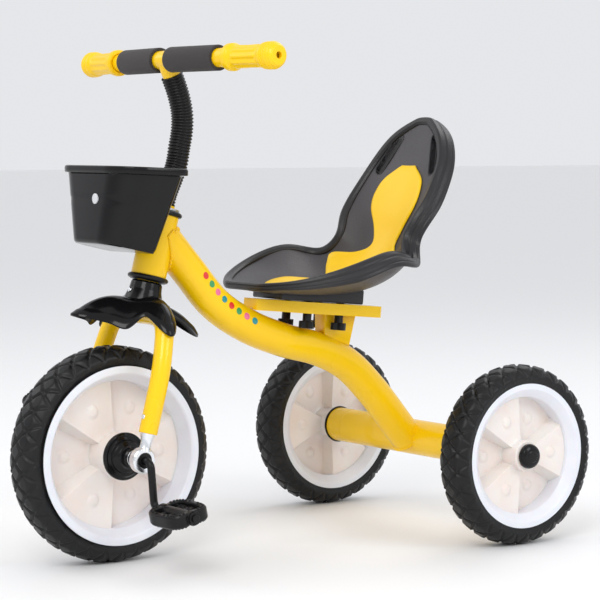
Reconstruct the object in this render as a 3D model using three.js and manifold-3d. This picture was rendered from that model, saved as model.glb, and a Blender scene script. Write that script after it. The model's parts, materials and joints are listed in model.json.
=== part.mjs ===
// A child's pedal tricycle: one swept main tube, a raked fork with direct pedals, a basket, and a
// bucket seat that slides on a rail. Millimetres. +x is the rider's left, the front faces -y, +z is up.
import * as THREE from "three";
import { mergeVertices } from "three/addons/utils/BufferGeometryUtils.js";
import Module from "manifold-3d";

const wasm = await Module();
wasm.setup();

// Driving sizes
const fit = 0.3; // clearance between two pieces that touch
const wheelbase = 460;
const rake = THREE.MathUtils.degToRad(14.5); // the steering axis leans back from the vertical
const crankAngle = THREE.MathUtils.degToRad(5); // how far past straight down the left crank rests

const front = { radius: 127, rimRadius: 105, rimHalf: 28.7, tyreHalf: 25, hubRadius: 27, bore: 12 };
const rear = { radius: 110, rimRadius: 89.4, rimHalf: 21.4, tyreHalf: 23, hubRadius: 19, bore: 5.3 };
const rim = {
  flange: 2.6, bead: 5, lip: 9, shoulder: 18, shoulderHalf: 13,
  web: 3, webOffset: 8, webOverlap: 5, hubOverlap: 1.5, sectors: 6, wallAngle: THREE.MathUtils.degToRad(7),
};
const tread = { shoulder: 12, edge: 3.5, edgeShare: 0.7, crownShare: 0.36 };
const rearTrack = 387; // between the middles of the rear wheels
const wheelSides = 24;

const headTube = { radius: 21, wall: 2.5, from: 213, to: 287 }; // from and to run up the steering axis
const cup = { radius: 24.5, height: 6, spigot: 10 };
const mainTube = { radius: 21, wall: 1.8, below: 20 }; // its line starts this far below the head tube's top
const axleTube = { radius: 22.5, wall: 2, half: 164 };
const axle = { radius: 5, half: 221 };
const axleBush = { radius: 24, flange: 3, spigot: 12 };
const axleNut = { radius: 8, height: 5 };
const hubcap = { radius: 15, height: 10, wall: 2 };

const rail = {
  front: 200, above: 14.5, // its front end behind the front hub, and above the main tube's top
  length: 184, depth: 14, wall: 2.2, slope: THREE.MathUtils.degToRad(5.3),
};
const railOutline = { noseHalf: 14, half: 31, noseLength: 26, flareLength: 60, corner: 6 };
// The bracket's edges are given from the rail's rear end, at the rail and at the foot.
const bracket = { wall: 2, front: 79, rear: 27, footFront: 72, footRear: 38 };
const bolt = { radius: 3, across: 22, frontAt: 71, rearAt: 120, seatRadius: 6, headHeight: 5 };
const seatTravel = 10; // each way from the middle of the slots
const knob = { stem: 5.5, lobe: 11, waist: 7, stemLength: 21, headLength: 9 };

const fork = { half: 70, tubeRadius: 11, wall: 1.6, foot: 31, shoulder: 100, crown: 167 };
const steerer = { radius: 14, bore: 11.3, to: 299 };
const lockWasher = { radius: 20, height: 2 };
const eye = { radius: 15, bore: 9, half: 6, neck: 6.5, shank: 40 };
// The stem's bend and the bar's middle are (y, z) from the front hub.
const stem = {
  radius: 11, wall: 1.5, insert: 40, straight: 312,
  bend: [[93, 336], [97, 356], [101, 376], [101.5, 397], [95.5, 422]],
};
const sleeve = { radius: 13.5, belowBar: 24 };
const bar = { radius: 11, wall: 1.5, y: 79, z: 460, half: 197, sweep: 17, middle: 8, bend: 60 };
const foam = { radius: 15, from: 12, to: 101 };
const grip = {
  from: 119, collar: 16, waist: 12.7, ball: 15.7, collarLength: 12, ballLength: 24, overhang: 9, hole: 4,
};

const crank = { radius: 4.5, length: 54, armAt: 88, bend: 9 };
const pedal = {
  from: 105, width: 66, half: 27, thickness: 18, corner: 16, tilt: { left: 12, right: 30 },
};
const pedalClip = { thickness: 2, wall: 3 };
const hubFlange = { radius: 28, thickness: 4, cone: 5, tail: 12, tip: 9, length: 23, spigot: 10 };
const hubWasher = { radius: 10, thickness: 2 };

// The basket's rim and floor lie at these places from the front hub, each with a front and a back height.
const basket = {
  wall: 2.2, lip: 4, lipHeight: 8,
  rim: { half: 76, front: -26.5, back: 60, zFront: 337, zBack: 333, corner: 38, backCorner: 10 },
  floor: { half: 52, front: -30.5, back: 33, zFront: 248, zBack: 234, corner: 32, backCorner: 9 },
};
const basketBracket = { share: 0.72, half: 15, height: 22 };
const seatWall = 10;
const seatRim = 16;
const seatPlinth = { half: 31, from: 24, to: 150, gap: 1, frontHeight: 9, rearHeight: 18 };
const seatSlot = { from: 0.8, to: 0.915, across: 0.76, half: 6 }; // all but half are shares of the back
const seatInsert = { lift: 2, thickness: 2 };

// Stations of the bucket seat from its nose to the top of its back, from the rail's front end: the
// middle of the sitting surface as (y, z), then the edge as (half-width, y, z).
const seatStations = [
  [-10, 19, 38, -9, 19], [22, 13, 82, 22, 24], [62, 8.5, 112, 79, 42], [105, 6.5, 110, 130, 57],
  [145, 10, 101, 160, 51], [178, 22, 84, 173, 50], [199, 42, 66, 185, 71], [213, 69, 73, 194, 94],
  [224, 103, 77, 211, 117], [236, 133, 73, 228, 142], [248, 160, 66, 244, 168], [261, 191, 46, 258, 198],
  [272, 218, 13, 271, 217],
];
// The seat insert: its half-width as a share of the seat's, from the front of the pan to the back
const insertSpan = [0.1, 0.83];
const insertShares = [0.2, 0.46, 0.55, 0.5, 0.44, 0.75, 0.9, 0.6, 0.34, 0.4, 0.56, 0.6, 0.52, 0.2];

// The main tube's middle line, from inside the head tube to inside the rear axle tube: the share of
// the way there, and how far it hangs below the straight line between the two.
const mainBow = [
  [0, 0], [0.112, 19], [0.204, 33], [0.328, 28.5], [0.466, 10.5], [0.59, -11], [0.71, -22],
  [0.814, -14.5], [0.921, 3], [0.964, 10],
];
// The fork arch's middle line as (x, distance along the steering axis), from the crown to the left foot
const forkLine = [
  [0, fork.crown], [22, fork.crown], [40, fork.crown - 2], [53, fork.crown - 8], [60, fork.crown - 19],
  [64, fork.crown - 34], [fork.half - 2, fork.shoulder + 14], [fork.half, fork.shoulder - 6],
  [fork.half, fork.foot],
];
// The fender's petals: angle from the front, reach from the steering axis, height and drop at the tip
const petals = [
  [0, 91, 183, 37], [24, 62, 183, 36], [46, 55, 184, 38], [66, 50, 187, 22], [90, 77, 190, 42],
  [116, 40, 187, 9], [142, 34, 184, 5], [163, 58, 184, 14], [180, 85, 184, 25],
];
const fender = { thickness: 2.6, collarTop: 17.5, collarFoot: 23, collarFrom: 180, collarTo: 206, bend: 2.6 };

// The rest follows from these.
const frontHub = new THREE.Vector3(0, 0, front.radius);
const rearHub = new THREE.Vector3(0, wheelbase, rear.radius);
const rimSeat = (wheel) => wheel.rimRadius - rim.bead;
const flangeTip = front.rimHalf + fit + hubFlange.length;

const finishes = {
  yellowPaint: new THREE.MeshStandardMaterial({ color: 0xffd200, roughness: 0.3, metalness: 0.1 }),
  blackPlastic: new THREE.MeshStandardMaterial({ color: 0x1b1a1c, roughness: 0.4, metalness: 0 }),
  greyPlastic: new THREE.MeshStandardMaterial({ color: 0x5a585c, roughness: 0.5, metalness: 0 }),
  yellowPlastic: new THREE.MeshStandardMaterial({ color: 0xffd400, roughness: 0.4, metalness: 0 }),
  whitePlastic: new THREE.MeshStandardMaterial({ color: 0xece6e2, roughness: 0.5, metalness: 0 }),
  tyreFoam: new THREE.MeshStandardMaterial({ color: 0x171617, roughness: 0.8, metalness: 0 }),
  gripFoam: new THREE.MeshStandardMaterial({ color: 0x4a4545, roughness: 0.9, metalness: 0 }),
  steel: new THREE.MeshStandardMaterial({ color: 0xc9cdd2, roughness: 0.2, metalness: 1 }),
};

// Geometry helpers

function outward(geometry) {
  const position = geometry.getAttribute("position");
  const index = geometry.index.array;
  const [a, b, c] = [new THREE.Vector3(), new THREE.Vector3(), new THREE.Vector3()];
  let volume = 0;
  for (let i = 0; i < index.length; i += 3) {
    a.fromBufferAttribute(position, index[i]);
    b.fromBufferAttribute(position, index[i + 1]);
    c.fromBufferAttribute(position, index[i + 2]);
    volume += a.dot(b.cross(c));
  }
  if (volume < 0) {
    for (let i = 0; i < index.length; i += 3) {
      [index[i + 1], index[i + 2]] = [index[i + 2], index[i + 1]];
    }
  }
  return geometry;
}

function bare(geometry) {
  const copy = geometry.clone();
  for (const name of Object.keys(copy.attributes)) {
    if (name !== "position") copy.deleteAttribute(name);
  }
  return outward(mergeVertices(copy, 1e-3));
}

function solid(geometry) {
  const closed = bare(geometry);
  return new wasm.Manifold(new wasm.Mesh({
    numProp: 3,
    vertProperties: closed.attributes.position.array,
    triVerts: new Uint32Array(closed.index.array),
  }));
}

function toGeometry(body) {
  const mesh = body.getMesh();
  const geometry = new THREE.BufferGeometry();
  const places = new Float32Array(mesh.numVert * 3);
  for (let i = 0; i < mesh.numVert; i++) {
    places.set(mesh.vertProperties.subarray(i * mesh.numProp, i * mesh.numProp + 3), i * 3);
  }
  geometry.setAttribute("position", new THREE.BufferAttribute(places, 3));
  geometry.setIndex(new THREE.BufferAttribute(mesh.triVerts, 1));
  geometry.computeVertexNormals();
  return geometry;
}

function cut(base, ...tools) {
  return toGeometry(tools.reduce((body, tool) => body.subtract(solid(tool)), solid(base)));
}

function join(base, ...others) {
  return toGeometry(others.reduce((body, other) => body.add(solid(other)), solid(base)));
}

// A solid of revolution about z from (radius, height) points; a profile off the axis closes on itself.
function turned(points, segments = 24) {
  const profile = points.map(([r, z]) => new THREE.Vector2(r, z));
  const onAxis = points[0][0] === 0 && points.at(-1)[0] === 0;
  if (!onAxis) profile.push(profile[0].clone());
  return bare(new THREE.LatheGeometry(profile, segments).rotateX(Math.PI / 2));
}

// The same, turned about x: points are (radius, x).
function turnedAcross(points, segments = 24) {
  return turned(points, segments).rotateY(Math.PI / 2);
}

function cylinder(radius, from, to, segments = 20) {
  return turned([[0, from], [radius, from], [radius, to], [0, to]], segments);
}

// The corner radius of a many-sided bore whose flats lie on the true circle.
function bore(radius, segments) {
  return radius / Math.cos(Math.PI / segments);
}

function circle(radius, sides) {
  const shape = new THREE.Shape();
  for (let i = 0; i < sides; i++) {
    const angle = (2 * Math.PI * i) / sides;
    shape[i ? "lineTo" : "moveTo"](radius * Math.cos(angle), radius * Math.sin(angle));
  }
  return shape;
}

// A path with exactly the given points, each with the mean direction of its two neighbours.
class Route extends THREE.Curve {
  constructor(points) {
    super();
    this.points = points;
  }

  getPoint(t, target = new THREE.Vector3()) {
    const place = t * (this.points.length - 1);
    const i = Math.min(Math.floor(place), this.points.length - 2);
    return target.lerpVectors(this.points[i], this.points[i + 1], place - i);
  }

  getPointAt(u, target) {
    return this.getPoint(u, target);
  }

  getTangentAt(u, target = new THREE.Vector3()) {
    const i = Math.round(u * (this.points.length - 1));
    const along = (a, b) => this.points[b].clone().sub(this.points[a]).normalize();
    target.set(0, 0, 0);
    if (i > 0) target.add(along(i - 1, i));
    if (i < this.points.length - 1) target.add(along(i, i + 1));
    return target.normalize();
  }
}

function sweep(points, radius, sides = 12) {
  const steps = points.length - 1;
  const extrudePath = new Route(points);
  return bare(new THREE.ExtrudeGeometry(circle(radius, sides), { steps, extrudePath, bevelEnabled: false }));
}

function longer(points, by) {
  const stretch = (end, next) => end.clone().add(end.clone().sub(next).setLength(by));
  return [stretch(points[0], points[1]), ...points.slice(1, -1), stretch(points.at(-1), points.at(-2))];
}

function pipe(points, radius, inside, sides = 12) {
  return cut(sweep(points, radius, sides), sweep(longer(points, 1), bore(inside, sides), sides));
}

function smooth(points, steps) {
  return new THREE.CatmullRomCurve3(points, false, "centripetal").getSpacedPoints(steps);
}

// The same line with an arc of the given radius at each inner corner.
function rounded(points, radius, arcSteps) {
  const line = [points[0]];
  for (let i = 1; i < points.length - 1; i++) {
    const back = points[i - 1].clone().sub(points[i]).normalize();
    const on = points[i + 1].clone().sub(points[i]).normalize();
    const half = back.angleTo(on) / 2;
    const reach = radius / Math.tan(half);
    const inward = back.clone().add(on).setLength(radius / Math.sin(half));
    const centre = points[i].clone().add(inward);
    const from = points[i].clone().addScaledVector(back, reach).sub(centre);
    const turn = Math.PI - 2 * half;
    const normal = from.clone().cross(points[i].clone().addScaledVector(on, reach).sub(centre)).normalize();
    for (let k = 0; k <= arcSteps; k++) {
      line.push(from.clone().applyAxisAngle(normal, (turn * k) / arcSteps).add(centre));
    }
  }
  line.push(points.at(-1));
  return line;
}

// A flat (y, z) outline made into a plate of the given width, centred on x = 0.
function across(points, width) {
  return extruded(points, width)
    .translate(0, 0, -width / 2)
    .applyMatrix4(new THREE.Matrix4().makeBasis(
      new THREE.Vector3(0, 1, 0), new THREE.Vector3(0, 0, 1), new THREE.Vector3(1, 0, 0),
    ));
}

function extruded(points, depth) {
  const shape = new THREE.Shape(points.map(([x, y]) => new THREE.Vector2(x, y)));
  return bare(new THREE.ExtrudeGeometry(shape, { depth, bevelEnabled: false, curveSegments: 4 }));
}

function roundedRectangle(halfX, nearY, farY, corner, steps = 4, farCorner = corner) {
  const points = [];
  const quarters = [
    [1, farY, -1, farCorner], [-1, farY, -1, farCorner], [-1, nearY, 1, corner], [1, nearY, 1, corner],
  ];
  quarters.forEach(([side, y, inward, radius], quarter) => {
    for (let i = 0; i <= steps; i++) {
      const angle = (Math.PI / 2) * (quarter + i / steps);
      const x = side * (halfX - radius) + radius * Math.cos(angle);
      points.push([x, y + inward * radius + radius * Math.sin(angle)]);
    }
  });
  return points;
}

function meshOf(places, faces) {
  const geometry = new THREE.BufferGeometry();
  const numbers = places.flatMap((point) => point.toArray());
  geometry.setAttribute("position", new THREE.Float32BufferAttribute(numbers, 3));
  geometry.setIndex(faces);
  return bare(geometry);
}

// A closed plate between two grids of points; a wrapped plate joins its last row to its first.
function plate(top, bottom, wrapped = false) {
  const rows = top.length;
  const columns = top[0].length;
  const places = [...top.flat(), ...bottom.flat()];
  const at = (side, i, j) => side * rows * columns + (i % rows) * columns + j;
  const faces = [];
  const quad = (a, b, c, d) => faces.push(a, b, c, a, c, d);
  for (let i = 0; i < (wrapped ? rows : rows - 1); i++) {
    for (let j = 0; j < columns - 1; j++) {
      quad(at(0, i, j), at(0, i + 1, j), at(0, i + 1, j + 1), at(0, i, j + 1));
      quad(at(1, i, j), at(1, i, j + 1), at(1, i + 1, j + 1), at(1, i + 1, j));
    }
    quad(at(0, i, 0), at(1, i, 0), at(1, i + 1, 0), at(0, i + 1, 0));
    quad(at(0, i, columns - 1), at(0, i + 1, columns - 1), at(1, i + 1, columns - 1), at(1, i, columns - 1));
  }
  if (!wrapped) {
    for (let j = 0; j < columns - 1; j++) {
      quad(at(0, 0, j), at(0, 0, j + 1), at(1, 0, j + 1), at(1, 0, j));
      quad(at(0, rows - 1, j), at(1, rows - 1, j), at(1, rows - 1, j + 1), at(0, rows - 1, j + 1));
    }
  }
  return meshOf(places, faces);
}

// A closed skin over stacked rings of points, with its first and last rings filled.
function skin(rings) {
  const count = rings[0].length;
  const places = rings.flat();
  const faces = [];
  for (let i = 0; i < rings.length - 1; i++) {
    for (let j = 0; j < count; j++) {
      const k = (j + 1) % count;
      faces.push(i * count + j, i * count + k, (i + 1) * count + k);
      faces.push(i * count + j, (i + 1) * count + k, (i + 1) * count + j);
    }
  }
  const end = (rings.length - 1) * count;
  for (let j = 1; j < count - 1; j++) {
    faces.push(0, j + 1, j);
    faces.push(end, end + j, end + j + 1);
  }
  return meshOf(places, faces);
}

function add(group, name, geometry, material) {
  const mesh = new THREE.Mesh(geometry, material);
  mesh.name = name;
  group.add(mesh);
  return mesh;
}

function mirrored(geometry) {
  return bare(geometry.clone().scale(-1, 1, 1));
}

// Groups

const tricycle = new THREE.Group();
tricycle.position.y = -(wheelbase + rear.radius - front.radius) / 2;

const head = new THREE.Group(); // z runs up the steering axis from the front hub
head.position.copy(frontHub);
head.rotation.x = -rake;
tricycle.add(head);

const cranks = new THREE.Group(); // z runs up along the right crank arm
cranks.position.copy(frontHub);
cranks.rotation.x = crankAngle;
tricycle.add(cranks);

head.updateMatrix();
const mainStart = new THREE.Vector3(0, 0, headTube.to - mainTube.below).applyMatrix4(head.matrix);
const mainLine = mainBow.map(([share, drop]) => {
  const point = mainStart.clone().lerp(rearHub, share);
  return point.setZ(point.z - drop);
});
const mainRoute = smooth(mainLine, 12);

// The height of the main tube's middle line at a distance behind the front hub.
function tubeHeight(y) {
  const i = mainRoute.findIndex((point) => point.y > y);
  const [a, b] = [mainRoute[i - 1], mainRoute[i]];
  return a.z + ((b.z - a.z) * (y - a.y)) / (b.y - a.y);
}

const railFrame = new THREE.Group(); // y runs back along the rail's top from its front end
railFrame.position.set(0, rail.front, tubeHeight(rail.front) + mainTube.radius + rail.above);
railFrame.rotation.x = -rail.slope;
railFrame.updateMatrix();
tricycle.add(railFrame);

const seatFrame = new THREE.Group(); // level, with its origin at the rail's front end
seatFrame.position.copy(railFrame.position);
tricycle.add(seatFrame);

const fromHead = (geometry) => geometry.clone().applyMatrix4(head.matrix);
const intoSeat = (geometry) => geometry.clone().rotateX(railFrame.rotation.x);
const intoRail = (geometry) => geometry.clone().applyMatrix4(railFrame.matrix.clone().invert());
const intoHead = (point) => point.clone().applyMatrix4(head.matrix.clone().invert());

// Frame

function makeFrame() {
  const headSpace = fromHead(cylinder(headTube.radius + fit, headTube.from - 60, headTube.to + 60, 28));
  const axleSpace = cylinder(axleTube.radius + fit, -axleTube.half, axleTube.half, 28)
    .rotateY(Math.PI / 2)
    .translate(0, wheelbase, rear.radius);
  const tube = pipe(mainRoute, mainTube.radius, mainTube.radius - mainTube.wall, 14);
  add(tricycle, "main_tube", cut(tube, headSpace, axleSpace), finishes.yellowPaint);

  const headBore = headTube.radius - headTube.wall;
  add(head, "head_tube", turned([
    [headTube.radius, headTube.from], [headTube.radius, headTube.to],
    [headBore, headTube.to], [headBore, headTube.from],
  ], 28), finishes.yellowPaint);

  const axleBore = axleTube.radius - axleTube.wall;
  const tubeAcross = turnedAcross([
    [axleTube.radius, -axleTube.half], [axleTube.radius, axleTube.half],
    [axleBore, axleTube.half], [axleBore, -axleTube.half],
  ], 28);
  add(tricycle, "rear_axle_tube", tubeAcross, finishes.yellowPaint).position.copy(rearHub);

  const rod = cylinder(axle.radius, -axle.half, axle.half, 16).rotateY(Math.PI / 2);
  add(tricycle, "rear_axle", rod, finishes.steel).position.copy(rearHub);

  const bushBore = bore(axle.radius + fit, 20);
  const start = axleTube.half + fit;
  const bush = turnedAcross([
    [axleBush.radius, start], [axleBush.radius, start + axleBush.flange],
    [bushBore, start + axleBush.flange], [bushBore, axleTube.half - axleBush.spigot],
    [axleBore - 2 * fit, axleTube.half - axleBush.spigot], [axleBore - 2 * fit, start],
  ], 20);
  const nutFrom = rearTrack / 2 + rear.rimHalf + fit;
  const nutBore = bore(axle.radius + fit, 6);
  const nut = turnedAcross([
    [axleNut.radius, nutFrom], [axleNut.radius, nutFrom + axleNut.height],
    [nutBore, nutFrom + axleNut.height], [nutBore, nutFrom],
  ], 6);
  for (const [side, flip] of [["left", (g) => g], ["right", mirrored]]) {
    add(tricycle, `axle_bush_${side}`, flip(bush), finishes.blackPlastic).position.copy(rearHub);
    add(tricycle, `axle_nut_${side}`, flip(nut), finishes.steel).position.copy(rearHub);
  }

  const cupBore = bore(steerer.radius + fit, 20);
  for (const [name, seat, away] of [["lower", headTube.from, -1], ["upper", headTube.to, 1]]) {
    add(head, `headset_cup_${name}`, turned([
      [cup.radius, seat + away * fit], [cup.radius, seat + away * (fit + cup.height)],
      [cupBore, seat + away * (fit + cup.height)], [cupBore, seat - away * cup.spigot],
      [headBore - 2 * fit, seat - away * cup.spigot], [headBore - 2 * fit, seat + away * fit],
    ], 20), finishes.blackPlastic);
  }
}

function makeRail() {
  const outline = (inset) => {
    const nose = railOutline.noseHalf - inset;
    const side = railOutline.half - inset;
    const end = rail.length - inset;
    const { corner, noseLength, flareLength } = railOutline;
    const right = [
      [nose, inset], [nose, noseLength], [side, flareLength], [side, end - corner], [side - corner, end],
    ];
    return [...right, ...right.map(([x, y]) => [-x, y]).reverse()];
  };
  const pan = extruded(outline(0), rail.depth).translate(0, 0, -rail.depth);
  const hollow = extruded(outline(rail.wall), rail.depth).translate(0, 0, -rail.depth - rail.wall);
  const slotHalf = bolt.radius + fit;
  const slotReach = seatTravel + slotHalf;
  const slot = roundedRectangle(slotHalf, -slotReach, slotReach, slotHalf - 0.01, 3);
  const slots = [];
  for (const x of [-bolt.across, bolt.across]) {
    for (const y of [bolt.frontAt, bolt.rearAt]) {
      slots.push(extruded(slot, 3 * rail.wall).translate(x, y, -2 * rail.wall));
    }
  }
  const tubeSpace = intoRail(sweep(mainRoute, bore(mainTube.radius + fit, 14), 14));
  add(railFrame, "seat_rail", cut(pan, hollow, ...slots, tubeSpace), finishes.yellowPaint);

  // The bracket is a folded channel, open at the back, that ends inside the space of the main tube.
  const top = -rail.wall - fit;
  const fromEnd = (distance) => rail.length - distance;
  const footY = rail.front + fromEnd((bracket.footFront + bracket.footRear) / 2);
  const toRail = railFrame.matrix.clone().invert();
  const foot = new THREE.Vector3(0, footY, tubeHeight(footY)).applyMatrix4(toRail).z;
  const side = [
    [fromEnd(bracket.front), top], [fromEnd(bracket.rear), top],
    [fromEnd(bracket.footRear), foot], [fromEnd(bracket.footFront), foot],
  ];
  const half = bolt.across - knob.lobe - 2 * fit;
  const { wall } = bracket;
  const open = rail.length;
  const inner = [
    [fromEnd(bracket.front) + wall, top + 1], [open, top + 1],
    [open, foot - 1], [fromEnd(bracket.footFront) + wall, foot - 1],
  ];
  const folded = cut(across(side, 2 * half), across(inner, 2 * (half - wall)), tubeSpace);
  add(railFrame, "rail_bracket", folded, finishes.yellowPaint);
}

// Wheels

function tyreOf(wheel) {
  const bead = Math.min(wheel.tyreHalf, wheel.rimHalf - rim.flange - fit);
  const half = [
    [rimSeat(wheel) + fit, bead], [wheel.rimRadius + 2 * fit, bead],
    [wheel.radius - tread.shoulder, wheel.tyreHalf],
    [wheel.radius - tread.edge, tread.edgeShare * wheel.tyreHalf],
    [wheel.radius, tread.crownShare * wheel.tyreHalf],
  ];
  return turnedAcross([...half, ...half.map(([r, x]) => [r, -x]).reverse()], wheelSides);
}

// Six sectors of the disc lie by turns nearer one face and the other, with sloping walls between.
function webOf(wheel) {
  const inner = wheel.hubRadius - rim.hubOverlap;
  const outer = wheel.rimRadius - rim.shoulder + rim.webOverlap;
  const [top, bottom] = [[], []];
  for (let sector = 0; sector < rim.sectors; sector++) {
    const middle = (2 * Math.PI * (sector + 0.5)) / rim.sectors;
    const reach = Math.PI / rim.sectors - rim.wallAngle / 2;
    const x = sector % 2 ? rim.webOffset : -rim.webOffset;
    for (const share of [-1, 0, 1]) {
      const angle = middle + share * reach;
      const at = (r, offset) => new THREE.Vector3(x + offset, r * Math.cos(angle), r * Math.sin(angle));
      top.push([at(inner, rim.web / 2), at(outer, rim.web / 2)]);
      bottom.push([at(inner, -rim.web / 2), at(outer, -rim.web / 2)]);
    }
  }
  return plate(top, bottom, true);
}

function rimOf(wheel) {
  const { rimRadius, rimHalf } = wheel;
  const lipRadius = rimRadius - rim.lip;
  const shoulder = rimRadius - rim.shoulder;
  const half = [
    [shoulder, rim.shoulderHalf], [lipRadius, rimHalf], [rimRadius, rimHalf],
    [rimRadius, rimHalf - rim.flange], [rimSeat(wheel), rimHalf - rim.flange],
  ];
  const barrel = turnedAcross([...half, ...half.map(([r, x]) => [r, -x]).reverse()], wheelSides);
  const hole = bore(wheel.bore, 12);
  const hub = turnedAcross([
    [wheel.hubRadius, -rimHalf], [wheel.hubRadius, rimHalf], [hole, rimHalf], [hole, -rimHalf],
  ], 12);
  return join(barrel, webOf(wheel), hub);
}

function makeFrontWheel() {
  const wheel = new THREE.Group();
  wheel.position.copy(frontHub);
  tricycle.add(wheel);
  add(wheel, "front_tyre", tyreOf(front), finishes.tyreFoam);
  add(wheel, "front_rim", rimOf(front), finishes.whitePlastic);

  const hole = bore(crank.radius + fit, 16);
  const face = front.rimHalf + fit;
  const tip = flangeTip;
  const flange = turnedAcross([
    [hubFlange.radius, face], [hubFlange.radius, face + hubFlange.thickness],
    [(hubFlange.radius + hubFlange.tail) / 2, face + hubFlange.thickness + hubFlange.cone],
    [hubFlange.tail, tip - hubFlange.tip], [hubFlange.tail - 2, tip], [hole, tip],
    [hole, front.rimHalf - hubFlange.spigot], [front.bore - fit, front.rimHalf - hubFlange.spigot],
    [front.bore - fit, face],
  ], 16);
  const washer = turnedAcross([
    [hubWasher.radius, tip + fit], [hubWasher.radius, tip + fit + hubWasher.thickness],
    [hole, tip + fit + hubWasher.thickness], [hole, tip + fit],
  ], 16);

  const pinEnd = pedal.from + pedal.width + pedalClip.thickness + 3 * fit;
  const arm = (side) => [[crank.armAt, 0], [crank.armAt, -crank.length], [pinEnd, -crank.length]]
    .map(([x, z]) => new THREE.Vector3(side * x, 0, side * z));
  const rod = sweep(rounded([...arm(-1).reverse(), ...arm(1)], crank.bend, 3), crank.radius, 8);
  add(cranks, "crank_axle", rod, finishes.blackPlastic);

  const pedalShape = extruded(
    roundedRectangle(pedal.width / 2, -pedal.half, pedal.half, pedal.corner), pedal.thickness,
  ).translate(0, 0, -pedal.thickness / 2);
  const pinHole = cylinder(bore(crank.radius + fit, 12), -pedal.width, pedal.width, 12).rotateY(Math.PI / 2);
  const clipHole = bore(crank.radius + fit, 12);
  const clipRadius = crank.radius + pedalClip.wall;
  const clip = turnedAcross([
    [clipRadius, 0], [clipRadius, pedalClip.thickness], [clipHole, pedalClip.thickness], [clipHole, 0],
  ], 12);
  for (const [name, side, flip] of [["left", 1, (g) => g], ["right", -1, mirrored]]) {
    add(wheel, `hub_flange_${name}`, flip(flange), finishes.blackPlastic);
    add(wheel, `hub_washer_${name}`, flip(washer), finishes.steel);
    const body = add(cranks, `pedal_${name}`, cut(pedalShape, pinHole), finishes.blackPlastic);
    body.position.set(side * (pedal.from + pedal.width / 2), 0, -side * crank.length);
    body.rotation.x = THREE.MathUtils.degToRad(pedal.tilt[name]) - crankAngle;
    const keeper = add(cranks, `pedal_clip_${name}`, flip(clip), finishes.steel);
    keeper.position.set(side * (pedal.from + pedal.width + fit), 0, -side * crank.length);
  }
}

function makeRearWheels() {
  const outerFace = rear.rimHalf + fit;
  const tip = outerFace + hubcap.height;
  const hollow = axleNut.radius + 1.5;
  const cap = turnedAcross([
    [0, tip], [hubcap.radius - 5, tip], [hubcap.radius, tip - 4], [hubcap.radius, outerFace],
    [hollow, outerFace], [hollow, tip - hubcap.wall], [0, tip - hubcap.wall],
  ], 20);
  for (const [name, side, flip] of [["left", 1, (g) => g], ["right", -1, mirrored]]) {
    const wheel = new THREE.Group();
    wheel.position.set((side * rearTrack) / 2, wheelbase, rear.radius);
    tricycle.add(wheel);
    add(wheel, `rear_tyre_${name}`, tyreOf(rear), finishes.tyreFoam);
    add(wheel, `rear_rim_${name}`, flip(rimOf(rear)), finishes.whitePlastic);
    add(wheel, `hubcap_${name}`, flip(cap), finishes.blackPlastic);
  }
}

// Fork, fender, stem and bar

function fenderPlate() {
  const full = [...petals, ...petals.slice(1, -1).reverse().map(([a, ...rest]) => [360 - a, ...rest])];
  const table = new THREE.CatmullRomCurve3(
    full.map(([, reach, height, drop]) => new THREE.Vector3(reach, height, drop)), true, "catmullrom", 0.5,
  );
  const inner = fender.collarTop;
  const perPetal = 2;
  const [top, bottom] = [[], []];
  full.forEach(([angle], i) => {
    const next = i + 1 < full.length ? full[i + 1][0] : 360;
    for (let k = 0; k < perPetal; k++) {
      const turn = THREE.MathUtils.degToRad(angle + ((next - angle) * k) / perPetal);
      const { x: reach, y: height, z: drop } = table.getPoint((i + k / perPetal) / full.length);
      const row = [0, 0.4, 0.75, 1].map((share) => {
        const r = inner + (reach - inner) * share;
        const z = height - drop * share ** fender.bend;
        return new THREE.Vector3(r * Math.sin(turn), -r * Math.cos(turn), z);
      });
      top.push(row);
      bottom.push(row.map((p) => p.clone().setZ(p.z - fender.thickness)));
    }
  });
  return plate(top, bottom, true);
}

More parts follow.
